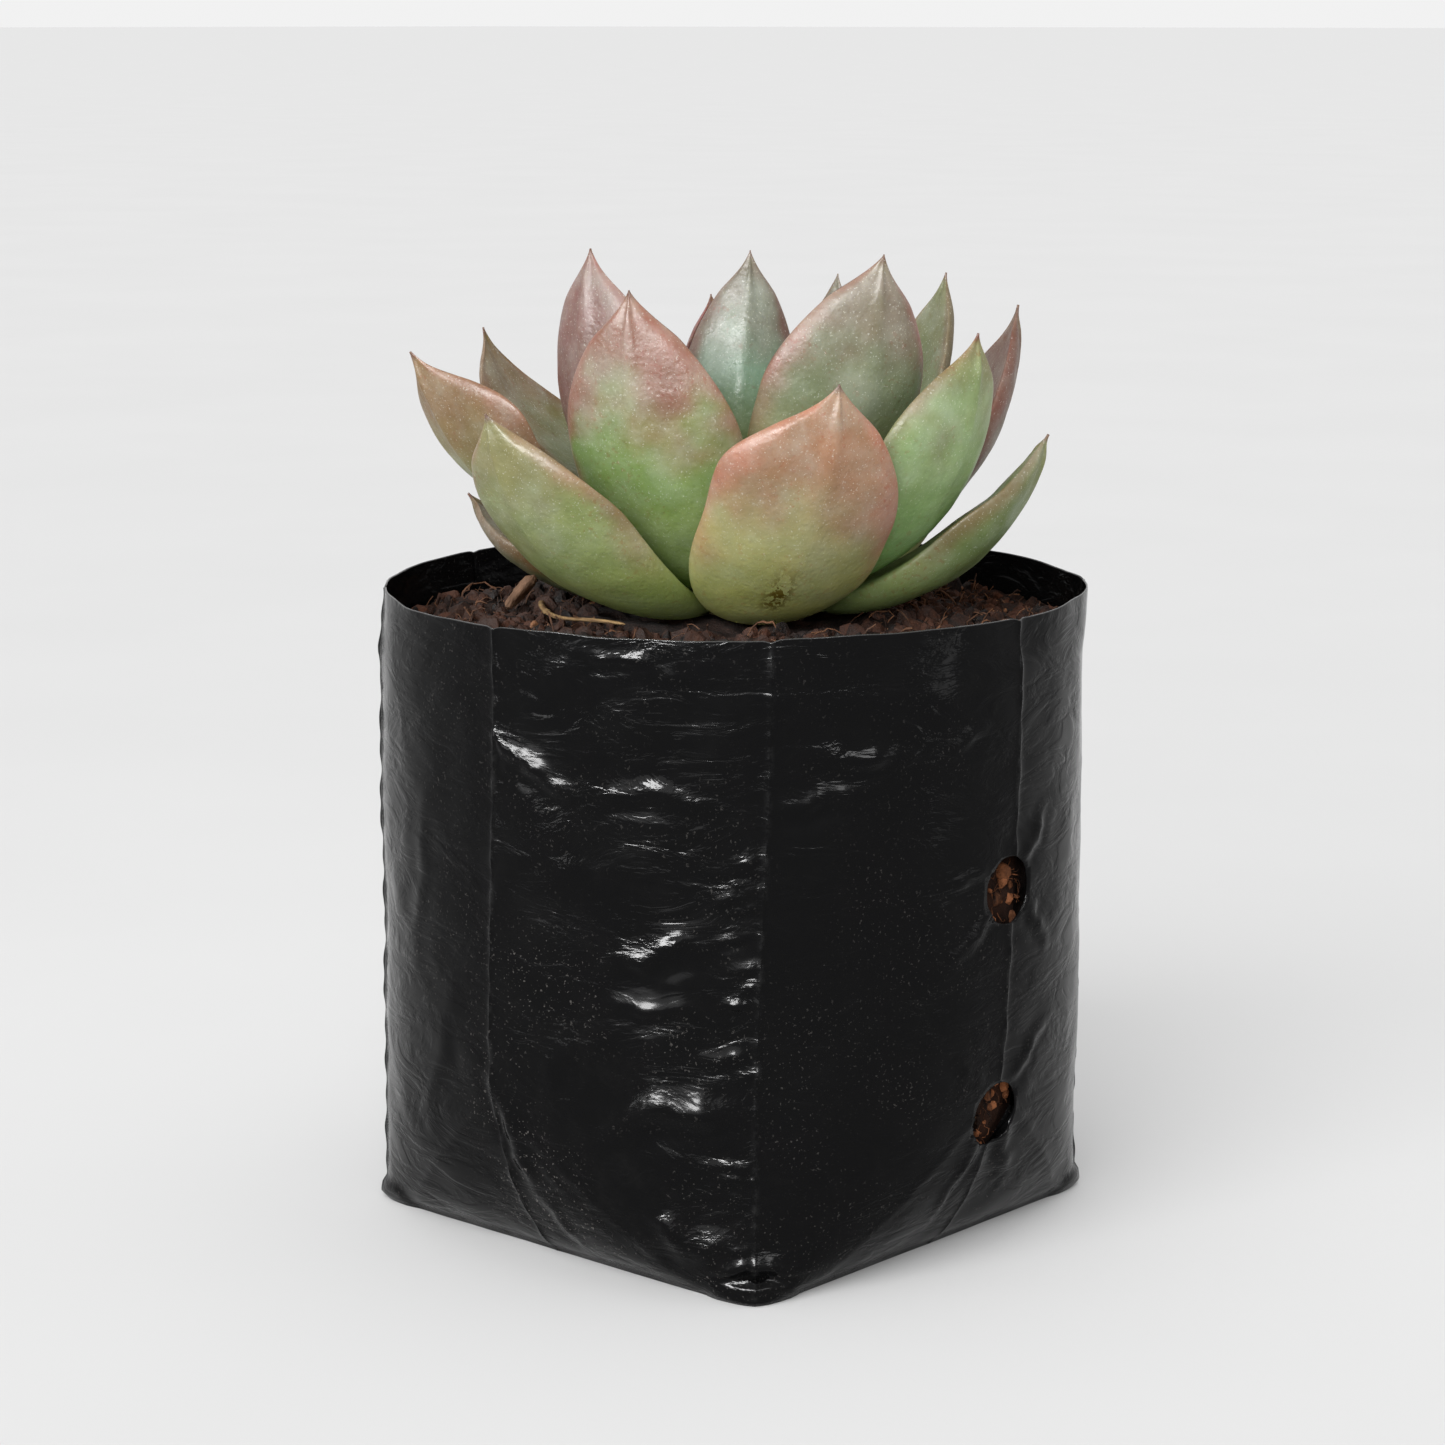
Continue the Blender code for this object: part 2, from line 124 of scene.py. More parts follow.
class Stock:
    """Turns rows of points into meshes and objects."""

    @staticmethod
    def loft(name: str, rows: Array, capped: bool = True) -> Mesh:
        """Skins rings of points, shaped (rings, points, 3), and shuts both ends with a fan.

        Args:
            name: the mesh's name.
            rows: the rings in order, each with the same number of points.
            capped: whether both ends are shut.

        Returns:
            The mesh, smooth and facing outward.
        """
        count, sides = rows.shape[:2]
        points = rows.reshape(-1, 3)
        low = np.arange(sides)
        high = (low + 1) % sides
        step = (np.arange(count - 1) * sides)[:, None]
        quads = np.stack((step + low, step + high, step + sides + high, step + sides + low), axis=-1)
        faces = [tuple(f) for f in quads.reshape(-1, 4).tolist()]
        if capped:
            points = np.vstack((points, rows[0].mean(axis=0), rows[-1].mean(axis=0)))
            first, last = count * sides, count * sides + 1
            top = (count - 1) * sides
            faces += [(first, h, l) for l, h in zip(low.tolist(), high.tolist())]
            faces += [(last, top + l, top + h) for l, h in zip(low.tolist(), high.tolist())]
            a, b, c = rows[:-1], np.roll(rows, -1, axis=1)[:-1], rows[1:]
            if np.sum(np.cross(a, b) * c) < 0.0:
                faces = [tuple(reversed(f)) for f in faces]
        mesh = bpy.data.meshes.new(name)
        mesh.from_pydata(points.tolist(), [], faces)
        mesh.polygons.foreach_set("use_smooth", [True] * len(mesh.polygons))
        return mesh

    @staticmethod
    def paint(mesh: Mesh, name: str, colours: Array) -> None:
        """Stores one colour or number per point under a name; capped ends repeat their last ring's value.

        Args:
            mesh: what is painted.
            name: the attribute's name.
            colours: one colour or number per point; capped ends repeat the first and last.
        """
        kind = "FLOAT_COLOR" if colours.ndim == 2 else "FLOAT"
        short = len(mesh.vertices) - len(colours)
        if short:
            colours = np.concatenate((colours, colours[:1], colours[-1:]))
        layer = mesh.attributes.new(name, kind, "POINT")
        if kind == "FLOAT":
            layer.data.foreach_set("value", colours.astype(np.float32))
        else:
            full = np.ones((len(colours), 4), np.float32)
            full[:, :3] = colours
            layer.data.foreach_set("color", full.ravel())

    @staticmethod
    def place(name: str, mesh: Mesh, material: Material) -> Thing:
        """An object at the origin that wears one material."""
        mesh.materials.clear()
        mesh.materials.append(material)
        return Stock.link(name, mesh)

    @staticmethod
    def link(name: str, data: bpy.types.ID) -> Thing:
        """An object at the origin, put into the scene."""
        made = bpy.data.objects.new(name, data)
        bpy.context.scene.collection.objects.link(made)
        return made

    @staticmethod
    def bake(made: Thing) -> Mesh:
        """A new mesh with the object's modifiers applied."""
        return bpy.data.meshes.new_from_object(made.evaluated_get(bpy.context.evaluated_depsgraph_get()))

    @staticmethod
    def fit(made: Thing, slot: str, *nodes: str) -> Thing:
        """Hangs a finished piece on the frame in place of its CAD nodes.

        Args:
            made: the piece, at the origin, unturned and unscaled.
            slot: the material slot it belongs to; not used.
            nodes: the CAD nodes it stands in for, if any.

        Returns:
            The same piece.
        """
        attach(made, "root")
        if nodes:
            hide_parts(*nodes)
        LOG.info("%s: %d faces", made.name, len(made.data.polygons))
        return made


# ---------------------------------------------------------------- finishes


class Graph:
    """Lays out nodes in a shader or geometry tree."""

    def __init__(self, tree: bpy.types.NodeTree) -> None:
        self.tree = tree

    def add(self, kind: str, inputs: Optional[dict] = None, **settings: object) -> bpy.types.Node:
        """Adds a node; inputs maps a socket's name or number to a value or to a socket to link from.

        Args:
            kind: the node's type.
            inputs: its inputs by name or number, each a value or a socket to link from.
            settings: its own properties.

        Returns:
            The node.
        """
        node = self.tree.nodes.new(kind)
        for key, value in settings.items():
            setattr(node, key, value)
        for key, value in (inputs or {}).items():
            if isinstance(value, Socket):
                self.tree.links.new(value, node.inputs[key])
            else:
                node.inputs[key].default_value = value
        return node

    def maths(self, operation: str, *values: object) -> Socket:
        """The result of one sum on numbers or sockets."""
        return self.add("ShaderNodeMath", dict(enumerate(values)), operation=operation).outputs[0]

    def times(self, first: object, second: object) -> Socket:
        """The product of two numbers or sockets."""
        return self.maths("MULTIPLY", first, second)

    def plus(self, first: object, second: object) -> Socket:
        """The sum of two numbers or sockets."""
        return self.maths("ADD", first, second)

    def dye(self, first: object, second: Colour) -> Socket:
        """A colour multiplied by an even one."""
        return self.blend(1.0, first, second, "MULTIPLY")

    def noise(self, where: Socket, scale: float, detail: float = 4.0, rough: float = 0.55,
              warp: float = 0.0) -> Socket:
        """A cloudy pattern from 0 to 1.

        Args:
            where: the place it is read at.
            scale: how many clouds there are in a metre.
            detail: how many finer layers are added.
            rough: how strong the finer layers are.
            warp: how far the clouds are pulled out of shape.

        Returns:
            The pattern's value.
        """
        node = self.add("ShaderNodeTexNoise", {"Vector": where, "Scale": scale, "Detail": detail,
                                               "Roughness": rough, "Distortion": warp})
        return node.outputs[0]

    def band(self, value: object, low: float, high: float, start: float = 0.0,
             end: float = 1.0) -> Socket:
        """Maps low..high smoothly on to start..end."""
        node = self.add("ShaderNodeMapRange", {0: value, 1: low, 2: high, 3: start, 4: end},
                        interpolation_type="SMOOTHSTEP")
        return node.outputs[0]

    def blend(self, share: object, first: object, second: object, how: str = "MIX") -> Socket:
        """Mixes two colours.

        Args:
            share: how much of the second there is.
            first: a colour or socket.
            second: a colour or socket.
            how: the way they mix.

        Returns:
            The mixed colour.
        """
        node = self.add("ShaderNodeMix", data_type="RGBA", blend_type=how)
        for number, value in ((0, share), (6, first), (7, second)):
            if isinstance(value, Socket):
                self.tree.links.new(value, node.inputs[number])
            else:
                node.inputs[number].default_value = (*value, 1.0) if isinstance(value, tuple) else value
        return node.outputs[2]

    def read(self, name: str, colour: bool = True) -> Socket:
        """A colour or number stored on the mesh."""
        node = self.add("ShaderNodeAttribute", attribute_name=name)
        return node.outputs[0] if colour else node.outputs[2]

    def place(self) -> Socket:
        """The point's place on its own object."""
        return self.add("ShaderNodeTexCoord").outputs["Object"]


class Effect:
    """A shader node group that gives varying colours and numbers to a material."""

    OUTPUTS = (("Color", "NodeSocketColor"), ("Roughness", "NodeSocketFloat"), ("Height", "NodeSocketFloat"))

    def __init__(self, name: str, colours: Sequence[str] = (), numbers: Sequence[str] = ()) -> None:
        self.tree = bpy.data.node_groups.new(name, "ShaderNodeTree")
        for labels, kind in ((colours, "NodeSocketColor"), (numbers, "NodeSocketFloat")):
            for label in labels:
                self.tree.interface.new_socket(label, in_out="INPUT", socket_type=kind)
        for label, kind in self.OUTPUTS:
            self.tree.interface.new_socket(label, in_out="OUTPUT", socket_type=kind)
        self.graph = Graph(self.tree)
        self.source = self.graph.add("NodeGroupInput")

    def input(self, label: str) -> Socket:
        """One of the group's inputs."""
        return self.source.outputs[label]

    def give(self, colour: object, roughness: object, height: object) -> None:
        """Links the three results to the group's outputs."""
        self.graph.add("NodeGroupOutput", {"Color": colour, "Roughness": roughness, "Height": height})

    def dress(self, name: str, inputs: dict, bump: float, depth: float,
              **uniform: object) -> Material:
        """A material that takes its colour, roughness and relief from this group.

        Args:
            name: the material's name.
            inputs: the group's inputs, each a value, or the name of a stored attribute.
            bump: the relief's strength.
            depth: the relief's depth in metres.
            uniform: even values of the surface shader, by socket name with spaces as underscores.

        Returns:
            The material.
        """
        material = bpy.data.materials.new(name)
        material.use_nodes = True
        material.node_tree.nodes.clear()
        graph = Graph(material.node_tree)
        group = graph.add("ShaderNodeGroup", node_tree=self.tree)
        for label, value in inputs.items():
            if isinstance(value, str):
                number = group.inputs[label].type == "VALUE"
                graph.tree.links.new(graph.read(value, not number), group.inputs[label])
            else:
                group.inputs[label].default_value = value
        shader = graph.add("ShaderNodeBsdfPrincipled",
                           {"Base Color": group.outputs["Color"], "Roughness": group.outputs["Roughness"]})
        relief = graph.add("ShaderNodeBump", {"Strength": bump, "Distance": depth,
                                              "Height": group.outputs["Height"]})
        graph.tree.links.new(relief.outputs[0], shader.inputs["Normal"])
        for label, value in uniform.items():
            shader.inputs[label.replace("_", " ")].default_value = value
        graph.add("ShaderNodeOutputMaterial", {"Surface": shader.outputs[0]})
        return material


@dataclass(frozen=True)
class FilmFinish:
    """Thin black polythene: glossy, finely crinkled, dusty, and pale along its cut edge."""

    black: Colour = (0.0034, 0.0034, 0.0036)
    dust: Colour = (0.16, 0.15, 0.14)
    cut: Colour = (0.07, 0.07, 0.07)

    def make(self) -> Material:
        """The film's material; it reads the attributes edge, grime and press.

        Returns:
            The material.
        """
        effect = Effect("film_pattern", numbers=("Edge", "Grime", "Press"))
        g, place = effect.graph, effect.graph.place()
        specks = g.band(g.noise(place, 2300.0, 2.0, 0.6), 0.63, 0.70)
        patches = g.band(g.noise(place, 75.0, 3.0), 0.40, 0.64)
        veil = g.band(g.noise(place, 220.0, 5.0, 0.7), 0.45, 0.85)
        dust = g.times(g.times(specks, patches), effect.input("Grime"))
        haze = g.times(g.times(veil, effect.input("Grime")), 0.03)
        colour = g.blend(g.plus(g.times(dust, 0.8), haze), self.black, self.dust)
        worn = g.band(g.noise(place, 260.0, 5.0, 0.75), 0.46, 0.60)
        press = g.times(effect.input("Press"), worn)
        colour = g.blend(g.times(press, 0.13), colour, self.cut)
        colour = g.blend(effect.input("Edge"), colour, self.cut)
        rough = g.plus(g.band(g.noise(place, 90.0, 4.0), 0.3, 0.75, 0.08, 0.24),
                        g.times(dust, 0.3))
        stretch = g.add("ShaderNodeMapping", {"Vector": place, "Scale": (1.0, 1.0, 2.6)}).outputs[0]
        creases = g.maths("ABSOLUTE", g.maths("SUBTRACT", g.noise(stretch, 85.0, 5.0, 0.55, 0.6), 0.5))
        grain = g.times(g.noise(place, 650.0, 3.0), 0.10)
        effect.give(colour, rough, g.plus(g.band(creases, 0.0, 0.13), grain))
        return effect.dress("film_black", {"Edge": "edge", "Grime": "grime", "Press": "press"}, 0.42,
                            0.16 * MM, Specular_IOR_Level=0.055)


@dataclass(frozen=True)
class LeafFinish:
    """Fleshy leaf skin: mottled, faintly pitted, with a thin waxy bloom and fine pale specks."""

    bloom: Colour = (0.55, 0.60, 0.52)
    speck: Colour = (0.80, 0.82, 0.74)
    sap: Colour = (0.10, 0.066, 0.004)

    def make(self, name: str) -> Material:
        """The leaf material; it reads the attributes tint, bloom and scar.

        Args:
            name: the material's name.

        Returns:
            The material.
        """
        effect = Effect("leaf_pattern", colours=("Tint",), numbers=("Bloom", "Scar"))
        g, place = effect.graph, effect.graph.place()
        tint = effect.input("Tint")
        mottle = g.band(g.noise(place, 210.0, 5.0, 0.6), 0.3, 0.7)
        colour = g.blend(mottle, g.dye(tint, (0.87, 0.89, 0.84)), g.dye(tint, (1.07, 1.05, 1.04)))
        patch = g.band(g.noise(place, 70.0, 3.0), 0.5, 0.75, 0.0, 0.16)
        colour = g.blend(patch, colour, g.dye(colour, (1.15, 0.86, 0.72)))
        wax = g.times(g.band(g.noise(place, 120.0, 6.0, 0.68), 0.36, 0.74, 0.02, 0.26), effect.input("Bloom"))
        colour = g.blend(wax, colour, self.bloom)
        specks = g.band(g.noise(place, 3600.0, 2.0, 0.5), 0.62, 0.72, 0.0, 0.30)
        colour = g.blend(g.times(specks, effect.input("Bloom")), colour, self.speck)
        freckles = g.times(g.band(g.noise(place, 1300.0, 3.0, 0.6), 0.56, 0.66, 0.0, 0.42),
                           g.band(g.noise(place, 95.0, 3.0), 0.44, 0.62))
        colour = g.blend(freckles, colour, g.dye(colour, (0.92, 0.44, 0.36)))
        drip = g.add("ShaderNodeMapping", {"Vector": place, "Scale": (1.0, 1.0, 0.32)}).outputs[0]
        scab = g.band(g.noise(drip, 950.0, 4.0, 0.7, 0.4), 0.45, 0.51)
        scar = g.times(scab, effect.input("Scar"))
        colour = g.blend(scar, colour, self.sap)
        rough = g.plus(g.band(g.noise(place, 320.0, 4.0), 0.3, 0.7, 0.30, 0.46), g.times(wax, 0.5))
        fine = g.times(g.noise(place, 1500.0, 3.0, 0.6), 0.5)
        cells = g.add("ShaderNodeTexVoronoi", {"Vector": place, "Scale": 900.0}).outputs[0]
        pits = g.times(g.band(cells, 0.0, 0.5), 0.25)
        relief = g.plus(g.times(g.noise(place, 190.0, 4.0), 0.8), g.plus(fine, pits))
        effect.give(colour, rough, g.plus(relief, g.times(scar, 0.15)))
        return effect.dress(name, {"Tint": "tint", "Bloom": "bloom", "Scar": "scar"}, 0.45, 0.3 * MM,
                            Specular_IOR_Level=0.085, Subsurface_Weight=0.12, Subsurface_Scale=0.0035,
                            Subsurface_Radius=(1.0, 0.9, 0.35))


@dataclass(frozen=True)
class Brown:
    """One brown: its name, its darkest and lightest colours, and how many pale grains it has."""

    name: str
    dark: Colour
    light: Colour
    grain: float = 0.3


class EarthFinish:
    """Brown matter of all sorts: coir, crumbs, fibres, bark and straw share one grain."""

    PALE: Colour = (0.30, 0.17, 0.09)

    def __init__(self) -> None:
        effect = Effect("earth_pattern", colours=("Dark", "Light"), numbers=("Tone", "Grain"))
        g, place = effect.graph, effect.graph.place()
        streak = g.add("ShaderNodeMapping", {"Vector": place, "Scale": (1.0, 1.0, 0.35)}).outputs[0]
        coarse = g.noise(streak, 330.0, 5.0, 0.65, 0.4)
        fine = g.noise(place, 1700.0, 4.0, 0.7)
        share = g.plus(g.band(coarse, 0.3, 0.72, 0.0, 0.75),
                        g.maths("SUBTRACT", effect.input("Tone"), 0.35))
        colour = g.blend(g.maths("MINIMUM", g.maths("MAXIMUM", share, 0.0), 1.0),
                         effect.input("Dark"), effect.input("Light"))
        pale = g.times(g.band(fine, 0.62, 0.75), effect.input("Grain"))
        colour = g.blend(pale, colour, self.PALE)
        rough = g.band(coarse, 0.3, 0.7, 0.62, 0.92)
        effect.give(colour, rough, g.plus(coarse, g.times(fine, 0.5)))
        self.effect = effect

    def make(self, brown: Brown) -> Material:
        """The material of one brown; it reads the attribute tone."""
        inputs = {"Dark": (*brown.dark, 1.0), "Light": (*brown.light, 1.0), "Tone": "tone",
                  "Grain": brown.grain}
        return self.effect.dress(brown.name, inputs, 0.9, 0.6 * MM, Specular_IOR_Level=0.06)


@dataclass(frozen=True)
class StudioFinish:
    """Matt pale paper for the sweep that the bag stands on, blended towards white round the bag: painted
    light that cancels the shade there.
    """

    paper: Colour = (0.625, 0.625, 0.625)
    # painted light round the bag: its strength, and how fast it fades with distance
    painted_light: float = 0.40
    painted_light_fall: float = 8.3

    def make(self) -> Material:
        """The sweep's material.

        Returns:
            The material.
        """
        effect = Effect("paper_pattern")
        g, place = effect.graph, effect.graph.place()
        cloud = g.band(g.noise(place, 9.0, 3.0), 0.3, 0.7)
        shade = tuple(c * 0.985 for c in self.paper)
        # painted light: the paper is blended towards white near the bag, where shade falls, to cancel that
        # shade
        away = g.add("ShaderNodeVectorMath", {0: place}, operation="LENGTH").outputs["Value"]
        lit = g.times(g.maths("EXPONENT", g.times(away, -self.painted_light_fall)), self.painted_light)
        pale = g.blend(lit, g.blend(cloud, self.paper, shade), (1.0, 1.0, 1.0))
        effect.give(pale, g.band(cloud, 0.0, 1.0, 0.86, 0.92), g.noise(place, 900.0, 3.0))
        return effect.dress("paper", {}, 0.05, 0.1 * MM, Specular_IOR_Level=0.0)


# ---------------------------------------------------------------- the grow bag


@dataclass(frozen=True)
class Fold:
    """One crease or swelling in the film.

    bearing is in degrees and height in millimetres up the wall. length, width and rise are in millimetres,
    tilt in degrees up to the right as seen from outside, and bow bends the line by that many millimetres.
    """

    bearing: float
    height: float
    tilt: float
    length: float
    width: float
    rise: float
    bow: float = 0.0

    def lift(self, side: Array, height: Array) -> Array:
        """How far it lifts the film.

        Args:
            side: how far along the wall each place lies from the fold's bearing, in millimetres.
            height: how high each place lies, in millimetres.

        Returns:
            The lift in metres at each place.
        """
        angle = math.radians(self.tilt)
        right, up = side, height - self.height
        along = (right * math.cos(angle) + up * math.sin(angle)) / (0.5 * self.length)
        across = -right * math.sin(angle) + up * math.cos(angle) + self.bow * (along**2 - 0.3)
        across = across + 0.30 * self.width * np.sin(along * 6.3 + self.height)
        across = across + 0.16 * np.sin(along * 15.0 + self.bearing)
        window = np.clip(1.0 - along**2, 0.0, 1.0) ** 1.5 * (0.8 + 0.2 * np.sin(along * 11.0 + self.length))
        valley = np.exp(-(((across + 1.6 * self.width) / self.width) ** 2))
        shape = np.exp(-np.abs(across / self.width) ** 1.5) - 0.45 * valley
        return 1.5 * self.rise * MM * window * shape


FOLDS: tuple[Fold, ...] = (
    Fold(24.0, 84.6, -7.0, 17.0, 0.8, 0.42, 0.8),
    Fold(30.0, 82.6, -4.0, 11.0, 0.7, 0.34),
    Fold(18.0, 83.6, 12.0, 8.0, 0.7, 0.28),
    Fold(6.0, 71.6, -24.0, 12.0, 0.9, 0.42, -0.8),
    Fold(11.0, 68.6, -20.0, 16.0, 1.3, 0.62, 0.8),
    Fold(29.0, 67.2, -3.0, 20.0, 1.2, 0.46, 0.9),
    Fold(36.0, 71.8, 0.0, 52.0, 0.6, 0.10, -1.0),
    Fold(45.0, 4.6, 0.0, 18.0, 1.0, 0.80, 1.9),
    Fold(45.5, 2.2, 0.0, 11.0, 0.6, 0.50, 1.0),
    Fold(29.5, 46.4, 17.0, 17.0, 1.6, 0.75, 0.8),
    Fold(33.0, 48.4, 20.0, 6.0, 0.7, 0.32),
    Fold(29.0, 39.5, 0.0, 15.0, 1.1, 0.55, -0.5),
    Fold(41.0, 54.2, 14.0, 5.0, 0.9, 0.50),
    Fold(42.0, 40.4, -10.0, 4.5, 0.8, 0.42),
    Fold(39.5, 33.0, 6.0, 8.0, 0.9, 0.40),
    Fold(33.5, 25.4, 5.0, 24.0, 2.3, 1.10, 2.6),
    Fold(39.5, 21.6, 4.0, 9.0, 0.9, 0.40),
    Fold(42.0, 17.0, -8.0, 6.0, 0.8, 0.35),
    Fold(35.0, 7.6, -7.0, 18.0, 2.4, 0.95, 1.6),
    Fold(31.0, 10.5, -38.0, 9.0, 1.2, 0.45, -0.7),
    Fold(54.5, 66.6, 9.0, 15.0, 1.3, 0.55, 0.6),
    Fold(62.0, 71.9, -4.0, 19.0, 1.3, 0.60, -0.6),
    Fold(57.0, 38.0, 20.0, 15.0, 1.3, 0.22, 0.8),
    Fold(60.0, 18.0, -14.0, 14.0, 1.6, 0.26, 1.0),
    Fold(81.0, 73.2, 27.0, 8.0, 0.8, 0.36),
    Fold(83.5, 46.8, 38.0, 15.0, 1.1, 0.42, 0.7),
    Fold(82.0, 54.5, 8.0, 12.0, 1.0, 0.34, 0.4),
    Fold(97.0, 58.0, 52.0, 12.0, 1.1, 0.42, -0.6),
    Fold(98.0, 46.0, -48.0, 12.0, 1.0, 0.36, 0.5),
    Fold(84.0, 12.5, 62.0, 19.0, 1.3, 0.60, 0.8),
    Fold(96.0, 14.0, -58.0, 18.0, 1.3, 0.50, -0.6),
    Fold(97.5, 28.0, 42.0, 13.0, 1.0, 0.40, 0.5),
    Fold(82.5, 27.5, -34.0, 10.0, 0.9, 0.30, 0.4),
    Fold(3.0, 19.0, -76.0, 22.0, 1.3, 0.55, 0.8),
    Fold(9.0, 7.0, -58.0, 12.0, 1.2, 0.40, 0.4),
    Fold(10.0, 14.0, -44.0, 9.0, 0.6, 0.20, 0.8),
    Fold(14.0, 31.0, 58.0, 16.0, 1.8, 0.22, 1.0),
    Fold(-14.0, 26.0, 66.0, 30.0, 1.6, 0.18, 1.0),
    Fold(-18.0, 52.0, 80.0, 30.0, 1.6, 0.16, -1.2),
    Fold(20.0, 57.0, 12.0, 18.0, 1.6, 0.16, 1.0),
)


@dataclass(frozen=True)
class GrowBag:
    """The bag: a thin film shell, round at the mouth and square at the foot, creased along eight lines."""

    mouth: float = 48.5 * MM
    height: float = 87.5 * MM
    film: float = 0.22 * MM
    ear_reach: float = 0.8 * MM
    ear_height: float = 3.0 * MM
    square_share: float = 0.285
    squaring: float = 9.4 * MM
    heel: float = 0.8 * MM
    hole_radius: float = 4.4 * MM
    hole_heights: tuple[float, float] = (51.5 * MM, 20.6 * MM)
    rim: float = 0.14 * MM
    dent_limit: float = 1.0 * MM
    swell_limit: float = 1.4 * MM
    ruffle: float = 0.16 * MM
    columns: int = 420
    rows: int = 184
    inner_rows: int = 24

    def radius(self, bearing: Array, height: Array) -> Array:
        """The plain wall's distance from the axis.

        Args:
            bearing: the bearing of each place.
            height: the height of each place.

        Returns:
            The distances: even at the mouth, and those of a square with soft corners at the foot.
        """
        reach = self.mouth + self.ear_reach * np.exp(-height / self.ear_height)
        share = 1.0 - self.square_share * np.exp(-height / self.squaring)
        power = math.log(2.0) / np.log(math.sqrt(2.0) * share)
        away = ray(bearing)
        total = np.abs(away[..., 0]) ** power + np.abs(away[..., 1]) ** power
        return reach * share / total ** (1.0 / power)

    def creases(self, bearing: Array, height: Array) -> Array:
        """The pressed lines at the corners and panel middles, and the slanting folds into the foot.

        Args:
            bearing: the bearing of each place.
            height: the height of each place.

        Returns:
            The lift in metres at each place.
        """
        level = height / MM
        total = np.zeros(bearing.shape)
        for number, turn in enumerate(LINES):
            corner = number % 2 == 1
            side = ARC * self.wrap(bearing - turn - self.drift(height))
            sharp = 0.36 if corner else 0.26
            line = np.exp(-np.abs(side) / 0.40) + 0.75 * np.exp(-np.abs(side) / 2.4)
            beat = 0.70 + 0.30 * np.sin(level * 0.9 + 2.1 * number) * np.sin(level * 0.37 + number)
            total += sharp * MM * line * beat
            if not corner:
                for way in (-1.0, 1.0):
                    run = np.abs(side) - (24.0 - level) * 1.28
                    slant = 0.7 * np.exp(-np.abs(run) / 1.1) * ease(level, 0.5, 3.0) * ease(level, 25.0, 19.0)
                    total += 0.32 * MM * slant * (np.sign(side) == way)
                low = ease(level, 0.0, 8.0) * ease(level, 26.0, 9.0)
                total -= 0.9 * MM * np.exp(-((side / 9.0) ** 2)) * low
        return total

    @staticmethod
    def drift(height: Array) -> Array:
        """How far in degrees the eight pressed lines have swung at a height."""
        return DRIFT * ease(height, 20.0 * MM, 85.0 * MM)

    def turns(self) -> Array:
        """The bearings of the wall's columns, crowded beside the eight pressed lines.

        Returns:
            The bearings at the foot, in order.
        """
        near = np.array([0.0, 0.16, 0.40, 0.80, 1.35])
        plain = np.linspace(2.1, 42.9, self.columns // len(LINES) - 2 * len(near) + 1)
        panel = np.concatenate((near, plain, 45.0 - near[:0:-1]))
        return np.concatenate([panel + turn for turn in LINES])

    @staticmethod
    def wrap(angle: Array) -> Array:
        """An angle brought to between -180 and 180 degrees."""
        return (angle + 180.0) % 360.0 - 180.0

    def folds(self) -> list[Fold]:
        """The known folds and seeded ones for the remaining panels.

        Returns:
            All the folds; the seeded ones are the same in each run.
        """
        random = np.random.default_rng(11)
        found = list(FOLDS)
        for _ in range(70):
            bearing = random.uniform(143.0, 300.0)
            found.append(Fold(bearing, random.uniform(6.0, 82.0), random.normal(0.0, 24.0),
                              random.uniform(6.0, 20.0), random.uniform(0.8, 1.6),
                              random.uniform(0.12, 0.40), random.uniform(-1.0, 1.2)))
        for level in random.uniform(5.0, 60.0, 16):
            found.append(Fold(random.uniform(40.5, 45.0), float(level), random.normal(0.0, 16.0),
                              random.uniform(2.5, 5.5), random.uniform(0.4, 0.7), random.uniform(0.2, 0.4)))
        for level, tilt in ((57.0, 48.0), (46.0, -44.0), (27.0, 40.0), (13.0, 62.0)):
            for way in (-1.0, 1.0):
                found.append(Fold(270.0 + 7.5 * way, level, tilt * way, 13.0, 1.1, 0.4, 0.5))
        return found

    def wall(self, bearing: Array, height: Array, inset: float) -> Array:
        """Points on the creased wall.

        Args:
            bearing: the bearing of each place at the foot; the wall turns by its drift above it.
            height: the height of each place.
            inset: how far inside the outer skin the points lie.

        Returns:
            One point per place.
        """
        bearing = bearing + self.drift(height)
        plain = ray(bearing) * self.radius(bearing, height)[..., None]
        plain[..., 2] = height
        lift = self.creases(bearing, height)
        for fold in self.folds():
            side = ARC * self.wrap(bearing - fold.bearing)
            lift += fold.lift(side, height / MM)
        lift += 0.20 * MM * Lumps(16.0 * MM, 3).at(plain) + 0.12 * MM * Lumps(5.0 * MM, 4).at(plain)
        lift *= ease(height, 0.0, 2.0 * MM) * 0.75 + 0.25
        ledge = np.minimum.reduce([np.abs(self.wrap(bearing - turn)) for turn in LINES[1::2]])
        ear = ease(ledge, 8.5, 6.0) * ease(height, 3.4 * MM, 2.2 * MM)
        lift += 0.55 * MM * ear
        top = ease(height, self.height - 9.0 * MM, self.height)
        flare = 0.45 * np.sin(np.radians(bearing * 3.0 + 40.0)) + 0.35 * Lumps(9.0 * MM, 8).at(plain)
        lift += top * flare * MM
        out = ray(bearing)
        lift = np.clip(lift, -self.dent_limit, self.swell_limit)
        made = out * (self.radius(bearing, height) + lift - inset)[..., None]
        ragged = 0.10 * np.sin(np.radians(bearing * 7.0)) + 0.16 * Lumps(6.0 * MM, 9).at(out * self.mouth)
        nick = np.zeros(bearing.shape)
        for turn in LINES:
            nick += 0.28 * np.exp(-((ARC * self.wrap(bearing - turn - DRIFT) / 0.7) ** 2))
        made[..., 2] = height + top * (ragged - nick) * MM
        return made

    def levels(self, shares: Array) -> Array:
        """Heights from the heel to the rim at these shares of the way, with one more just under the rim."""
        found = self.heel + (self.height - self.heel) * shares
        return np.sort(np.append(found, self.height - self.rim))

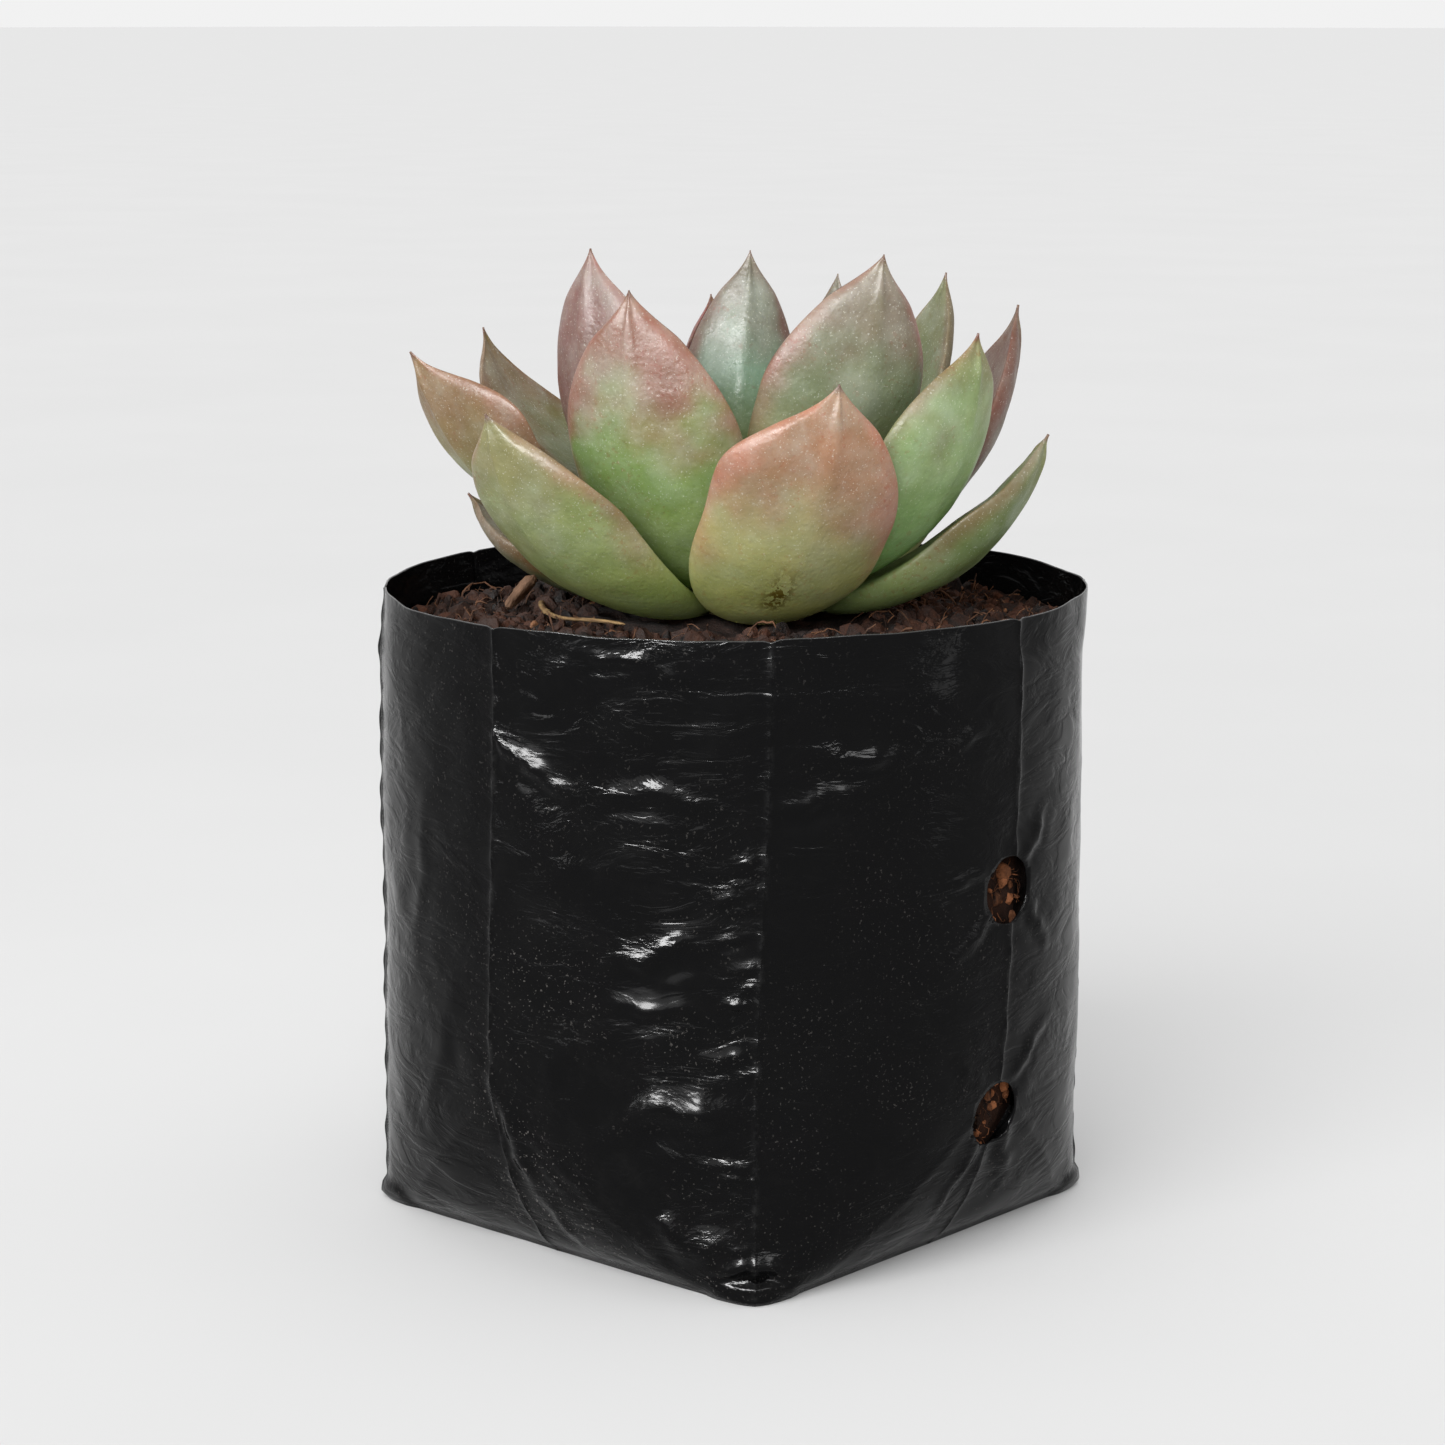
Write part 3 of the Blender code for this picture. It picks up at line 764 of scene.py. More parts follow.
    def skins(self, turns: Array) -> tuple[Array, Array]:
        """The film's rings, from the middle of its floor up inside, over the rim, down outside and under.

        Args:
            turns: the bearings of the columns.

        Returns:
            The rings, and for each ring whether it is the cut edge, 1 or 0.
        """
        rows, edges = [], []
        foot = self.wall(turns, np.full(turns.shape, self.heel), 0.0)
        for share in (0.12, 0.5, 0.85):
            rows.append(foot * [share, share, 0.0] + [0.0, 0.0, self.film])
            edges.append(0.0)
        for level in self.levels(np.linspace(0.0, 1.0, self.inner_rows) ** 0.6):
            inset = self.film + 0.45 * MM * float(ease(self.height - level, 3.0 * MM, 12.0 * MM))
            rows.append(self.wall(turns, np.full(turns.shape, level), inset))
            edges.append(0.0)
        edges[-1] = 1.0
        for number, level in enumerate(self.levels(np.linspace(0.0, 1.0, self.rows))[::-1]):
            rows.append(self.wall(turns, np.full(turns.shape, level), 0.0))
            edges.append(1.0 if number < 1 else 0.0)
        sole = Lumps(7.0 * MM, 21)
        for share in (0.985, 0.8, 0.55, 0.3, 0.1):
            ring = foot * [share, share, 0.0]
            ring[:, 2] = 0.0 if share > 0.9 else 0.10 * MM * (1.0 + sole.at(ring))
            rows.append(ring)
            edges.append(0.0)
        return np.array(rows), np.array(edges)

    def build(self, finish: Material) -> Thing:
        """The finished bag, dusty at its foot, with its drain holes cut.

        Args:
            finish: the film's material.

        Returns:
            The fitted piece.
        """
        turns = self.turns()
        grid, edges = self.skins(turns)
        mesh = Stock.loft("grow_bag_film", grid)
        Stock.paint(mesh, "edge", np.repeat(edges, len(turns)))
        low = np.exp(-grid[..., 2] / (34.0 * MM))
        left = np.exp(-((self.wrap(np.broadcast_to(turns, low.shape) - 5.0) / 32.0) ** 2))
        Stock.paint(mesh, "grime", np.clip(0.16 + 0.9 * low * (0.12 + left), 0.0, 1.0).ravel())
        aside = np.abs((turns + 22.5) % 45.0 - 22.5)
        line = np.exp(-((aside / 0.42) ** 2))[None] * (grid[..., 2] > 1.0 * MM)
        Stock.paint(mesh, "press", line.ravel())
        made = Stock.place("grow_bag_film", mesh, finish)
        made.data = self.crinkle(made)
        self.pierce(made.data)
        return Stock.fit(made, "film_black", "grow_bag")

    def crinkle(self, made: Thing) -> Mesh:
        """Ruffles both skins of the film together with a Geometry Nodes tree.

        Args:
            made: the bag so far.

        Returns:
            Its ruffled mesh.
        """
        tree = TreeMaker("film_crinkle", (("Coarse", "NodeSocketFloat"), ("Fine", "NodeSocketFloat"),
                                          ("Depth", "NodeSocketFloat")))
        g = tree.graph
        place = g.add("GeometryNodeInputPosition").outputs[0]
        level = g.add("ShaderNodeSeparateXYZ", {0: place}).outputs
        tall = g.times(level[2], 2.1)
        flat = g.add("ShaderNodeCombineXYZ", {0: level[0], 1: level[1], 2: tall})
        coarse = g.add("ShaderNodeTexNoise", {"Vector": flat.outputs[0], "Scale": tree.input("Coarse"),
                                              "Detail": 2.0, "Distortion": 0.8}).outputs[0]
        fine = g.add("ShaderNodeTexNoise", {"Vector": flat.outputs[0], "Scale": tree.input("Fine"),
                                            "Detail": 3.0, "Distortion": 0.5}).outputs[0]
        ridge = g.maths("ABSOLUTE", g.maths("SUBTRACT", coarse, 0.5))
        ruffle = g.times(g.maths("SUBTRACT", fine, 0.5), 0.5)
        total = g.plus(g.times(ridge, -1.6), ruffle)
        ground = g.add("ShaderNodeCombineXYZ", {0: level[0], 1: level[1]}).outputs[0]
        away = g.add("ShaderNodeVectorMath", {0: ground}, operation="NORMALIZE").outputs[0]
        foot = g.band(level[2], 0.0005, 0.006)
        size = g.times(g.times(total, tree.input("Depth")), foot)
        shift = g.add("ShaderNodeVectorMath", {0: away, "Scale": size}, operation="SCALE").outputs[0]
        moved = g.add("GeometryNodeSetPosition", {"Geometry": tree.input("Geometry"), "Offset": shift})
        tree.finish(moved.outputs[0])
        return tree.apply(made, {"Coarse": 75.0, "Fine": 260.0, "Depth": self.ruffle})

    def pierce(self, film: Mesh) -> None:
        """Punches the four drain holes through both skins and closes their lips.

        Args:
            film: the bag's mesh, which is changed.
        """
        work = bmesh.new()
        work.from_mesh(film)
        for way in (1.0, -1.0):
            for level in self.hole_heights:
                self.punch(work, way, level)
        bmesh.ops.recalc_face_normals(work, faces=work.faces)
        work.to_mesh(film)
        work.free()
        film.polygons.foreach_set("use_smooth", [True] * len(film.polygons))

    def punch(self, work: bmesh.types.BMesh, way: float, level: float) -> None:
        """Cuts one drain hole.

        Args:
            work: the film being cut.
            way: 1 for the +X panel, -1 for the -X panel.
            level: the height of the hole's middle.
        """

        def reach(place: Vector) -> float:
            """How far a place on this panel lies from the hole's axis; a metre anywhere else."""
            return math.hypot(place.y, place.z - level) if place.x * way > 0.02 else 1.0

        gone = [f for f in work.faces if reach(f.calc_center_median()) < self.hole_radius]
        bmesh.ops.delete(work, geom=gone, context="FACES")
        near = 2.0 * self.hole_radius
        rims = self.rims([e for e in work.edges if e.is_boundary and reach(e.verts[0].co) < near])
        inner, outer = sorted(rims, key=lambda rim: sum(abs(e.verts[0].co.x) for e in rim) / len(rim))
        for rim, extra in ((outer, 0.0), (inner, 0.8 * MM)):
            for vert in {v for e in rim for v in e.verts}:
                turn = math.atan2(vert.co.z - level, vert.co.y)
                size = self.hole_radius * (1.0 + 0.02 * math.sin(2.0 * turn + level * 90.0)) + extra
                vert.co.y, vert.co.z = size * math.cos(turn), level + size * 1.02 * math.sin(turn)
        lip = bmesh.ops.extrude_edge_only(work, edges=outer)["geom"]
        for vert in (v for v in lip if isinstance(v, bmesh.types.BMVert)):
            vert.co.x -= way * self.film
        edges = [e for e in lip if isinstance(e, bmesh.types.BMEdge) and e.is_boundary]
        bmesh.ops.bridge_loops(work, edges=edges + inner)

    @staticmethod
    def rims(edges: list[bmesh.types.BMEdge]) -> list[list[bmesh.types.BMEdge]]:
        """Sorts open edges into separate rims and gives the two longest.

        Args:
            edges: the open edges round one hole.

        Returns:
            The edges of each of the two longest rims.
        """
        order = {edge: number for number, edge in enumerate(edges)}
        left, found = dict(order), []
        while left:
            rim, ahead = [], [next(iter(left))]
            del left[ahead[0]]
            while ahead:
                rim.append(ahead.pop())
                for near in (e for v in rim[-1].verts for e in v.link_edges if e in left):
                    del left[near]
                    ahead.append(near)
            found.append(sorted(rim, key=order.get))
        return sorted(found, key=len)[-2:]


# ---------------------------------------------------------------- geometry node trees


class TreeMaker:
    """A Geometry Nodes tree with named inputs, applied once to give a plain mesh."""

    def __init__(self, name: str, inputs: Sequence[tuple[str, str]]) -> None:
        self.tree = bpy.data.node_groups.new(name, "GeometryNodeTree")
        self.sockets = {}
        for label, kind in (("Geometry", "NodeSocketGeometry"), *inputs):
            self.sockets[label] = self.tree.interface.new_socket(label, in_out="INPUT", socket_type=kind)
        self.tree.interface.new_socket("Geometry", in_out="OUTPUT", socket_type="NodeSocketGeometry")
        self.graph = Graph(self.tree)
        self.source = self.graph.add("NodeGroupInput")

    def input(self, label: str) -> Socket:
        """One of the tree's inputs."""
        return self.source.outputs[label]

    def finish(self, geometry: Socket,
               material: Optional[Socket] = None) -> None:
        """Realises what was made, dresses it and links it to the output.

        Args:
            geometry: what was made.
            material: what it wears; without one it keeps its own.
        """
        real = self.graph.add("GeometryNodeRealizeInstances", {0: geometry}).outputs[0]
        if material is not None:
            dressed = self.graph.add("GeometryNodeSetMaterial", {"Geometry": real, "Material": material})
            real = dressed.outputs[0]
        self.graph.add("NodeGroupOutput", {0: real})

    def apply(self, made: Thing, values: dict) -> Mesh:
        """The plain mesh that the tree gives on an object, with these inputs.

        Args:
            made: what the tree works on.
            values: the tree's inputs by name.

        Returns:
            A new mesh.
        """
        step = made.modifiers.new(self.tree.name, "NODES")
        step.node_group = self.tree
        for label, value in values.items():
            step[self.sockets[label].identifier] = value
        mesh = Stock.bake(made)
        made.modifiers.remove(step)
        return mesh


class ScatterShape(Enum):
    """What is strewn: round crumbs, or curled fibres."""

    CRUMB = "crumb"
    FIBRE = "fibre"


@dataclass(frozen=True)
class Scatter:
    """Small bits strewn over a surface: how many per square metre, how big, and how they are turned."""

    name: str
    shape: ScatterShape
    density: float
    smallest: float
    largest: float
    seed: int
    flatness: float = 0.55
    rough: float = 1.3 * MM

    def bit(self, g: Graph) -> Socket:
        """The shape of one bit, one metre across.

        Args:
            g: the tree it is made in.

        Returns:
            Its geometry.
        """
        if self.shape is ScatterShape.CRUMB:
            return g.add("GeometryNodeMeshIcoSphere", {"Radius": 0.5, "Subdivisions": 2}).outputs[0]
        arc = g.add("GeometryNodeCurveArc", {"Resolution": 9, "Radius": 0.5, "Sweep Angle": 2.6}).outputs[0]
        girth = g.add("GeometryNodeCurvePrimitiveCircle", {"Resolution": 4, "Radius": 0.022}).outputs[0]
        hair = g.add("GeometryNodeCurveToMesh", {"Curve": arc, "Profile Curve": girth, "Fill Caps": True})
        return hair.outputs[0]

    def build(self, bed: Thing, material: Material) -> Thing:
        """Strews the bits over the bed and gives them as one piece.

        Args:
            bed: what they are strewn on.
            material: what they wear.

        Returns:
            The fitted piece.
        """
        tree = TreeMaker(self.name, (("Density", "NodeSocketFloat"), ("Smallest", "NodeSocketFloat"),
                                     ("Largest", "NodeSocketFloat"), ("Seed", "NodeSocketInt"),
                                     ("Rough", "NodeSocketFloat"), ("Material", "NodeSocketMaterial")))
        g, seed = tree.graph, tree.input("Seed")
        where = {"Mesh": tree.input("Geometry"), "Density": tree.input("Density"), "Seed": seed}
        spots = g.add("GeometryNodeDistributePointsOnFaces", where).outputs
        turn = g.add("FunctionNodeRandomValue", {1: (6.28, 6.28, 6.28), "Seed": seed},
                     data_type="FLOAT_VECTOR")
        low, flat = tree.input("Smallest"), self.flatness
        pick = g.add("FunctionNodeRandomValue", {2: 0.0, 3: 1.0, "Seed": g.plus(seed, 7)},
                     data_type="FLOAT")
        share = g.maths("POWER", pick.outputs[1], 2.2)
        span = g.plus(low, g.times(share, g.maths("SUBTRACT", tree.input("Largest"), low)))
        scale = g.add("ShaderNodeCombineXYZ", {0: span, 1: g.times(span, 0.5 + 0.5 * flat),
                                               2: g.times(span, flat)}).outputs[0]
        laid = g.add("GeometryNodeInstanceOnPoints", {"Points": spots["Points"], "Instance": self.bit(g),
                                                      "Rotation": turn.outputs[0], "Scale": scale}).outputs[0]
        hue = g.add("FunctionNodeRandomValue", {2: 0.0, 3: 1.0, "Seed": g.plus(seed, 13)},
                    data_type="FLOAT")
        toned = g.add("GeometryNodeStoreNamedAttribute",
                      {"Geometry": laid, "Name": "tone", "Value": hue.outputs[1]},
                      data_type="FLOAT", domain="INSTANCE").outputs[0]
        real = g.add("GeometryNodeRealizeInstances", {0: toned}).outputs[0]
        where = g.add("GeometryNodeInputPosition").outputs[0]
        cloud = g.add("ShaderNodeTexNoise", {"Vector": where, "Scale": 900.0, "Detail": 1.0}).outputs[1]
        even = g.add("ShaderNodeVectorMath", {0: cloud, 1: (0.5, 0.5, 0.5)}, operation="SUBTRACT").outputs[0]
        shift = g.add("ShaderNodeVectorMath", {0: even, "Scale": tree.input("Rough")},
                      operation="SCALE").outputs[0]
        moved = g.add("GeometryNodeSetPosition", {"Geometry": real, "Offset": shift}).outputs[0]
        tree.finish(moved, tree.input("Material"))
        mesh = tree.apply(bed, {"Density": self.density, "Smallest": self.smallest, "Largest": self.largest,
                                "Seed": self.seed, "Rough": self.rough, "Material": material})
        return Stock.fit(Stock.place(self.name, mesh, material), "potting_mix")


# ---------------------------------------------------------------- the potting mix


@dataclass(frozen=True)
class PottingMix:
    """The potting mix: a lumpy heap inside the bag, strewn with coir crumbs, fibres and bark."""

    top: float = 83.3 * MM
    mound: float = 2.0 * MM
    power: float = 2.2
    slack: float = 1.25 * MM
    grain: float = 0.5 * MM
    side_start: float = 1.2 * MM
    side_end: float = 79.0 * MM
    brim: float = 80.0 * MM
    columns: int = 400
    rings: int = 80
    side_rings: int = 46
    peep_depth: float = 2.4 * MM
    peep_angle: float = 6.5
    peep_height: float = 5.5
    peep_steps: int = 8

    def level(self, distance: Array, mouth: float) -> Array:
        """The heap's plain height at a distance from the axis."""
        return self.top - self.mound * (np.asarray(distance) / mouth) ** self.power

    def turns(self) -> Array:
        """The bearings of its columns."""
        return np.arange(self.columns) * 360.0 / self.columns

    def surface(self, bag: GrowBag, shares: Array) -> Array:
        """Rings of points over the heap's lumpy top.

        Args:
            bag: the bag that holds the mix.
            shares: how far out each ring lies, from 0 at the axis to 1 at the film.

        Returns:
            The points, shaped (rings, columns, 3).
        """
        turns = self.turns()
        edge = bag.radius(turns, np.full(turns.shape, self.brim)) - self.slack
        reach = edge[None, :] * shares[:, None]
        rows = ray(turns)[None] * reach[..., None]
        rows[..., 2] = self.level(reach, bag.mouth)
        bumps = 1.1 * Lumps(6.0 * MM, 31).at(rows) + 0.8 * Lumps(2.6 * MM, 32).at(rows)
        rows[..., 2] += MM * (bumps + 0.5 * Lumps(1.2 * MM, 33).at(rows)) * 0.8
        return rows

    def heap(self, bag: GrowBag, soil: Material) -> Thing:
        """The heap itself, from the middle of its foot up its sides and over its top.

        Args:
            bag: the bag that holds the mix.
            soil: the mix's material.

        Returns:
            The fitted piece.
        """
        away = ray(self.turns())
        sides = []
        for level in np.linspace(self.side_start, self.side_end, self.side_rings):
            reach = bag.radius(self.turns(), np.full(self.columns, level)) - self.slack - self.grain
            ring = away * reach[:, None] + [0.0, 0.0, level]
            sides.append(ring - away * (self.grain * (1.0 + Lumps(2.4 * MM, 34).at(ring)))[:, None])
        base = np.array([sides[0] * [s, s, 1.0] for s in (0.1, 0.5, 0.9)])
        top = self.surface(bag, np.linspace(0.04, 1.0, self.rings))
        rows = np.concatenate((base, np.array(sides), top[::-1]))
        mesh = Stock.loft("potting_mix_heap", rows)
        Stock.paint(mesh, "tone", 0.5 + 0.5 * Lumps(3.0 * MM, 35).at(rows.reshape(-1, 3)))
        return Stock.fit(Stock.place("potting_mix_heap", mesh, soil), "potting_mix", "soil")

    def build(self, bag: GrowBag, earth: EarthFinish) -> list[Thing]:
        """The heap, with its crumbs and fibres on top and behind the drain holes.

        Args:
            bag: the bag that holds the mix.
            earth: makes the browns.

        Returns:
            Every piece of the mix.
        """
        crumb, fibre = ScatterShape.CRUMB, ScatterShape.FIBRE
        soil = earth.make(Brown("potting_mix", (0.003, 0.0013, 0.0008), (0.028, 0.011, 0.006), 0.2))
        made = [self.heap(bag, soil)]
        top = self.surface(bag, np.linspace(0.42, 0.955, 30))
        bed = Stock.link("bed", Stock.loft("bed", top, capped=False))
        for scatter, brown in (
            (Scatter("coir_crumbs", crumb, 420000.0, 0.7 * MM, 3.4 * MM, 5),
             Brown("coir_crumb", (0.006, 0.0025, 0.0015), (0.068, 0.025, 0.013))),
            (Scatter("coir_chunks", crumb, 34000.0, 2.6 * MM, 6.0 * MM, 23, 0.4),
             Brown("coir_chunk", (0.005, 0.002, 0.0012), (0.055, 0.021, 0.011), 0.25)),
            (Scatter("dry_crumbs", crumb, 22000.0, 0.8 * MM, 2.4 * MM, 9, 0.45),
             Brown("dry_crumb", (0.070, 0.026, 0.012), (0.330, 0.150, 0.070))),
            (Scatter("coir_fibres", fibre, 130000.0, 1.6 * MM, 6.5 * MM, 14, 0.8),
             Brown("coir_fibre", (0.020, 0.008, 0.004), (0.170, 0.075, 0.036))),
        ):
            made.append(scatter.build(bed, earth.make(brown)))
        behind = self.patches(bag)
        plug = earth.make(Brown("drain_crumb", (0.008, 0.003, 0.0015), (0.270, 0.100, 0.042), 0.45))
        for scatter in (
            Scatter("drain_crumbs", crumb, 230000.0, 0.8 * MM, 2.8 * MM, 31, 0.7),
            Scatter("drain_fibres", fibre, 420000.0, 1.4 * MM, 3.6 * MM, 37, 0.8),
        ):
            made.append(scatter.build(behind, plug))
        for used in (bed, behind):
            bpy.data.objects.remove(used)
        return made

    def patches(self, bag: GrowBag) -> Thing:
        """The patches of the heap's side that show through the drain holes.

        Args:
            bag: the bag that holds the mix.

        Returns:
            One sheet of patches, to be strewn and then removed.
        """
        points, faces, steps = [], [], self.peep_steps
        for way in (90.0, 270.0):
            for middle in bag.hole_heights:
                first = len(points)
                for up in np.linspace(-self.peep_height, self.peep_height, steps):
                    for side in np.linspace(-self.peep_angle, self.peep_angle, steps):
                        level = middle + up * MM
                        reach = float(bag.radius(np.array(way + side), np.array(level))) - self.peep_depth
                        points.append(tuple((ray(way + side) * reach + [0.0, 0.0, level]).tolist()))
                cells = range(steps - 1)
                corners = [first + row * steps + column for row in cells for column in cells]
                faces += [(c, c + 1, c + steps + 1, c + steps) for c in corners]
        mesh = bpy.data.meshes.new("drain_patches")
        mesh.from_pydata(points, [], faces)
        return Stock.link("drain_patches", mesh)


# ---------------------------------------------------------------- the rosette


class Palette(Enum):
    """A leaf's colours: at its foot, over its middle, towards its tip and along its margins. They are partly
    the leaf's own colour and partly painted light and shade, and the foot colours are lightened, painted
    light that cancels the shade at the leaves' feet.
    """

    # painted light and shade: each palette holds its leaf's light and shade, and its foot colour is lightened
    # to cancel the shade at the foot
    ROSE = ("9fa35c", "989568", "956f55", "a8705c")
    FRESH = ("6c8240", "708a4a", "80584a", "8c5648")
    GREEN = ("82ae62", "879f6b", "7a7452", "7c6446")
    OLIVE = ("8c9c54", "8b9860", "7e7a52", "886a50")
    SLENDER = ("86985a", "6e804c", "6e6e46", "745e42")
    MAUVE = ("71774a", "7a6258", "785450", "864e4c")
    TAN = ("7b944c", "8a8a5a", "7f6446", "845a48")
    SAGE = ("90915f", "707a5c", "78685a", "88584e")
    FERN = ("707e50", "6a7250", "6a6b4c", "6e5b44")
    BLUE = ("7a8650", "6c8670", "6a5e54", "744e48")
    DUSK = ("5c6a3a", "524032", "684438", "70463c")
    MOSS = ("424a20", "5f6237", "68502f", "6a4428")

    def colour(self, place: int) -> Array:
        """One of the four colours in linear light."""
        return np.array(srgb(self.value[place]))


@dataclass(frozen=True)
class LeafSize:
    """Measures common to all leaves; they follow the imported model."""

    stem_radius: float = 8.0
    stem_shoulder: float = 7.0
    stem_dome: float = 8.0
    dome_power: float = 0.7
    gap: float = 0.3
    seat_width: float = 5.6
    seat_thick: float = 2.6
    foot: tuple[float, float, float] = (1.6, 1.6, 83.3)
    point: str = "5a2a26"
    rings: int = 88
    sides: int = 52


SIZE = LeafSize()


@dataclass(frozen=True)
class Leaf:
    """One fleshy pointed leaf, in millimetres and degrees.

    turn, reach and top place its tip round the stem; seat is where it grows, sweep and rise aim its foot and
    lift aims its tip. left and right trim its width on each side. bulge swells one shoulder below the tip by
    that many millimetres, the right one above zero and the left one below.
    """

    name: str
    turn: float
    reach: float
    top: float
    seat: float
    width: float
    rise: float
    lift: float
    palette: Palette
    sweep: float = 0.0
    roll: float = 0.0
    thick: float = 5.2
    cup: float = 0.16
    left: float = 1.0
    right: float = 1.0
    wave: float = 0.35
    flush: float = 0.0
    scar: float = 0.0
    bulge: float = 0.0

    def seat_thickness(self) -> float:
        """Its thickness where it leaves the stem."""
        return min(SIZE.seat_thick, self.thick * 0.7)

    def line(self) -> tuple[Array, Array]:
        """Points along its middle and the directions there.

        Returns:
            The points in millimetres from the stem's foot, and unit vectors.
        """
        out, slope = ray(self.turn - self.sweep), math.radians(self.rise)
        away = out * math.cos(slope) + [0.0, 0.0, math.sin(slope)]
        lean = 0.5 * self.seat_thickness() * math.sin(slope)
        up = min(max(self.seat - lean - SIZE.stem_shoulder, 0.0) / SIZE.stem_dome, 1.0)
        stem = SIZE.stem_radius * (1.0 - up) ** SIZE.dome_power
        start = out * (stem + SIZE.gap + lean) + [0.0, 0.0, self.seat]
        end = ray(self.turn) * self.reach + [0.0, 0.0, self.top]
        aim = math.radians(self.lift)
        arrive = ray(self.turn) * math.cos(aim) + [0.0, 0.0, math.sin(aim)]
        span = float(np.linalg.norm(end - start))
        leave, meet = start + away * span * 0.38, end - arrive * span * 0.36
        t = self.shares()[:, None]
        s = 1.0 - t
        place = s**3 * start + 3 * s**2 * t * leave + 3 * s * t**2 * meet + t**3 * end
        course = s**2 * (leave - start) + 2 * s * t * (meet - leave) + t**2 * (end - meet)
        return place, course / np.linalg.norm(course, axis=1, keepdims=True)

    @staticmethod
    def shares() -> Array:
        """How far along the leaf each ring lies, closer together near the tip."""
        return 1.0 - (1.0 - np.linspace(0.0, 1.0, SIZE.rings)) ** 1.35

    def half_widths(self, t: Array) -> Array:
        """Half its width along its length, drawn out to a fine point.

        Args:
            t: shares of its length.

        Returns:
            Half widths in millimetres.
        """
        half = self.width / 2
        seat = min(SIZE.seat_width / 2, half * 0.42)
        grown = np.sin(0.5 * math.pi * np.minimum(t / 0.45, 1.0) ** 0.8)
        fall = np.maximum(t - 0.56, 0.0) / 0.44
        taper = (1.0 - fall**2.1) * (1.0 - 0.12 * fall**2) * (1.0 - 0.42 * ease(t, 0.86, 1.0))
        return np.maximum((seat + (half - seat) * grown) * taper, 0.10)

    def sides(self, along: Array) -> Array:
        """The direction across the leaf at each ring, turned gradually by its roll.

        Args:
            along: the directions along its middle.

        Returns:
            One unit vector per ring.
        """
        t = self.shares()[:, None]
        side = ray(self.turn - self.sweep + 90.0) * (1.0 - t) + ray(self.turn + 90.0) * t
        side -= along * np.sum(side * along, axis=1, keepdims=True)
        side /= np.linalg.norm(side, axis=1, keepdims=True)
        angle = np.radians(self.roll * t)
        return side * np.cos(angle) + np.cross(along, side) * np.sin(angle)

    def spread(self, across: Array) -> Array:
        """How far each point stands to the side of the middle line, in millimetres.

        Args:
            across: the points' shares of the half width, from -1 to 1.

        Returns:
            The distances, trimmed and swollen on each side.
        """
        t = self.shares()[:, None]
        trim = np.where(across < 0.0, self.left, self.right)
        trim = 1.0 + (trim - 1.0) * np.abs(across) * ease(t, 0.1, 0.5)
        shoulder = np.exp(-(((t - 0.76) / 0.13) ** 2)) * np.abs(across) ** 1.5
        shoulder = abs(self.bulge) * shoulder * (np.sign(across) == np.sign(self.bulge))
        return across * self.half_widths(t) * trim + np.sign(across) * shoulder

    def push(self, across: Array, depth: Array) -> Array:
        """How far each point stands in from the middle line, in millimetres.

        Args:
            across: the points' shares of the half width, from -1 to 1.
            depth: their shares of the thickness, from -1 on the outer face to 1 on the inner one.

        Returns:
            The distances: its flesh, cup, keel, wavy margins and raised lip together.
        """
        t = self.shares()[:, None]
        seat = self.seat_thickness()
        swell = np.sin(math.pi * np.minimum(t, 0.97)) ** 0.7
        fine = 1.0 - 0.55 * ease(t, 0.90, 1.0)
        thick = np.maximum((seat * (1.0 - t) + (self.thick - 0.4 * seat) * swell) * fine, 0.2)
        flesh = depth * thick * np.where(depth > 0.0, 0.34, 0.66)
        cup = self.cup * np.sin(math.pi * np.minimum(t * 1.05, 1.0))
        grow = ease(t, 0.25, 0.7) * (1.0 - ease(t, 0.93, 1.0))
        keel = np.where(depth < 0.0, -0.55 * np.exp(-((across / 0.13) ** 2)) * grow, 0.0)
        keel = keel - np.where(depth > 0.0, 0.30 * np.exp(-((across / 0.3) ** 2)) * grow, 0.0)
        phase = self.turn * 0.11 + np.where(across > 0.0, 1.3, 0.0)
        wave = self.wave * np.abs(across) ** 3 * np.sin(2.0 * math.pi * 1.9 * t + phase) * grow
        lip = 0.28 * np.exp(-(((1.0 - np.abs(across)) / 0.10) ** 2)) * grow
        return flesh + cup * self.half_widths(t) * across**2 + keel + wave + lip

    def rows(self) -> tuple[Array, Array, Array]:
        """Its rings of points in metres, and the across and depth shares round each ring."""
        place, along = self.line()
        t = self.shares()[:, None]
        turn = 2.0 * math.pi * np.arange(SIZE.sides) / SIZE.sides
        across, depth = np.cos(turn) * np.ones_like(t), np.sin(turn) * np.ones_like(t)
        side = self.sides(along)
        inner = np.cross(along, side)[:, None]
        points = place[:, None] + side[:, None] * self.spread(across)[..., None] + SIZE.foot
        points = points + inner * self.push(across, depth)[..., None]
        seed = int(abs(self.turn)) % 17
        dent = 0.30 * Lumps(8.0, seed).at(points) + 0.10 * Lumps(2.6, seed + 3).at(points)
        dent = dent * ease(t, 0.08, 0.3) * (1.0 - ease(t, 0.9, 1.0)) * (1.0 - 0.6 * np.abs(across) ** 4)
        points = points + inner * (dent * np.where(depth > 0.0, 1.0, -1.0))[..., None]
        return points * MM, across, depth

    def tint(self, points: Array, across: Array) -> Array:
        """Its colour over the rings: foot to middle to blushed tip, and browner along the margins.

        Args:
            points: its rings of points.
            across: their shares of the half width.

        Returns:
            One colour per point.
        """
        t = self.shares()[:, None] * np.ones_like(across)
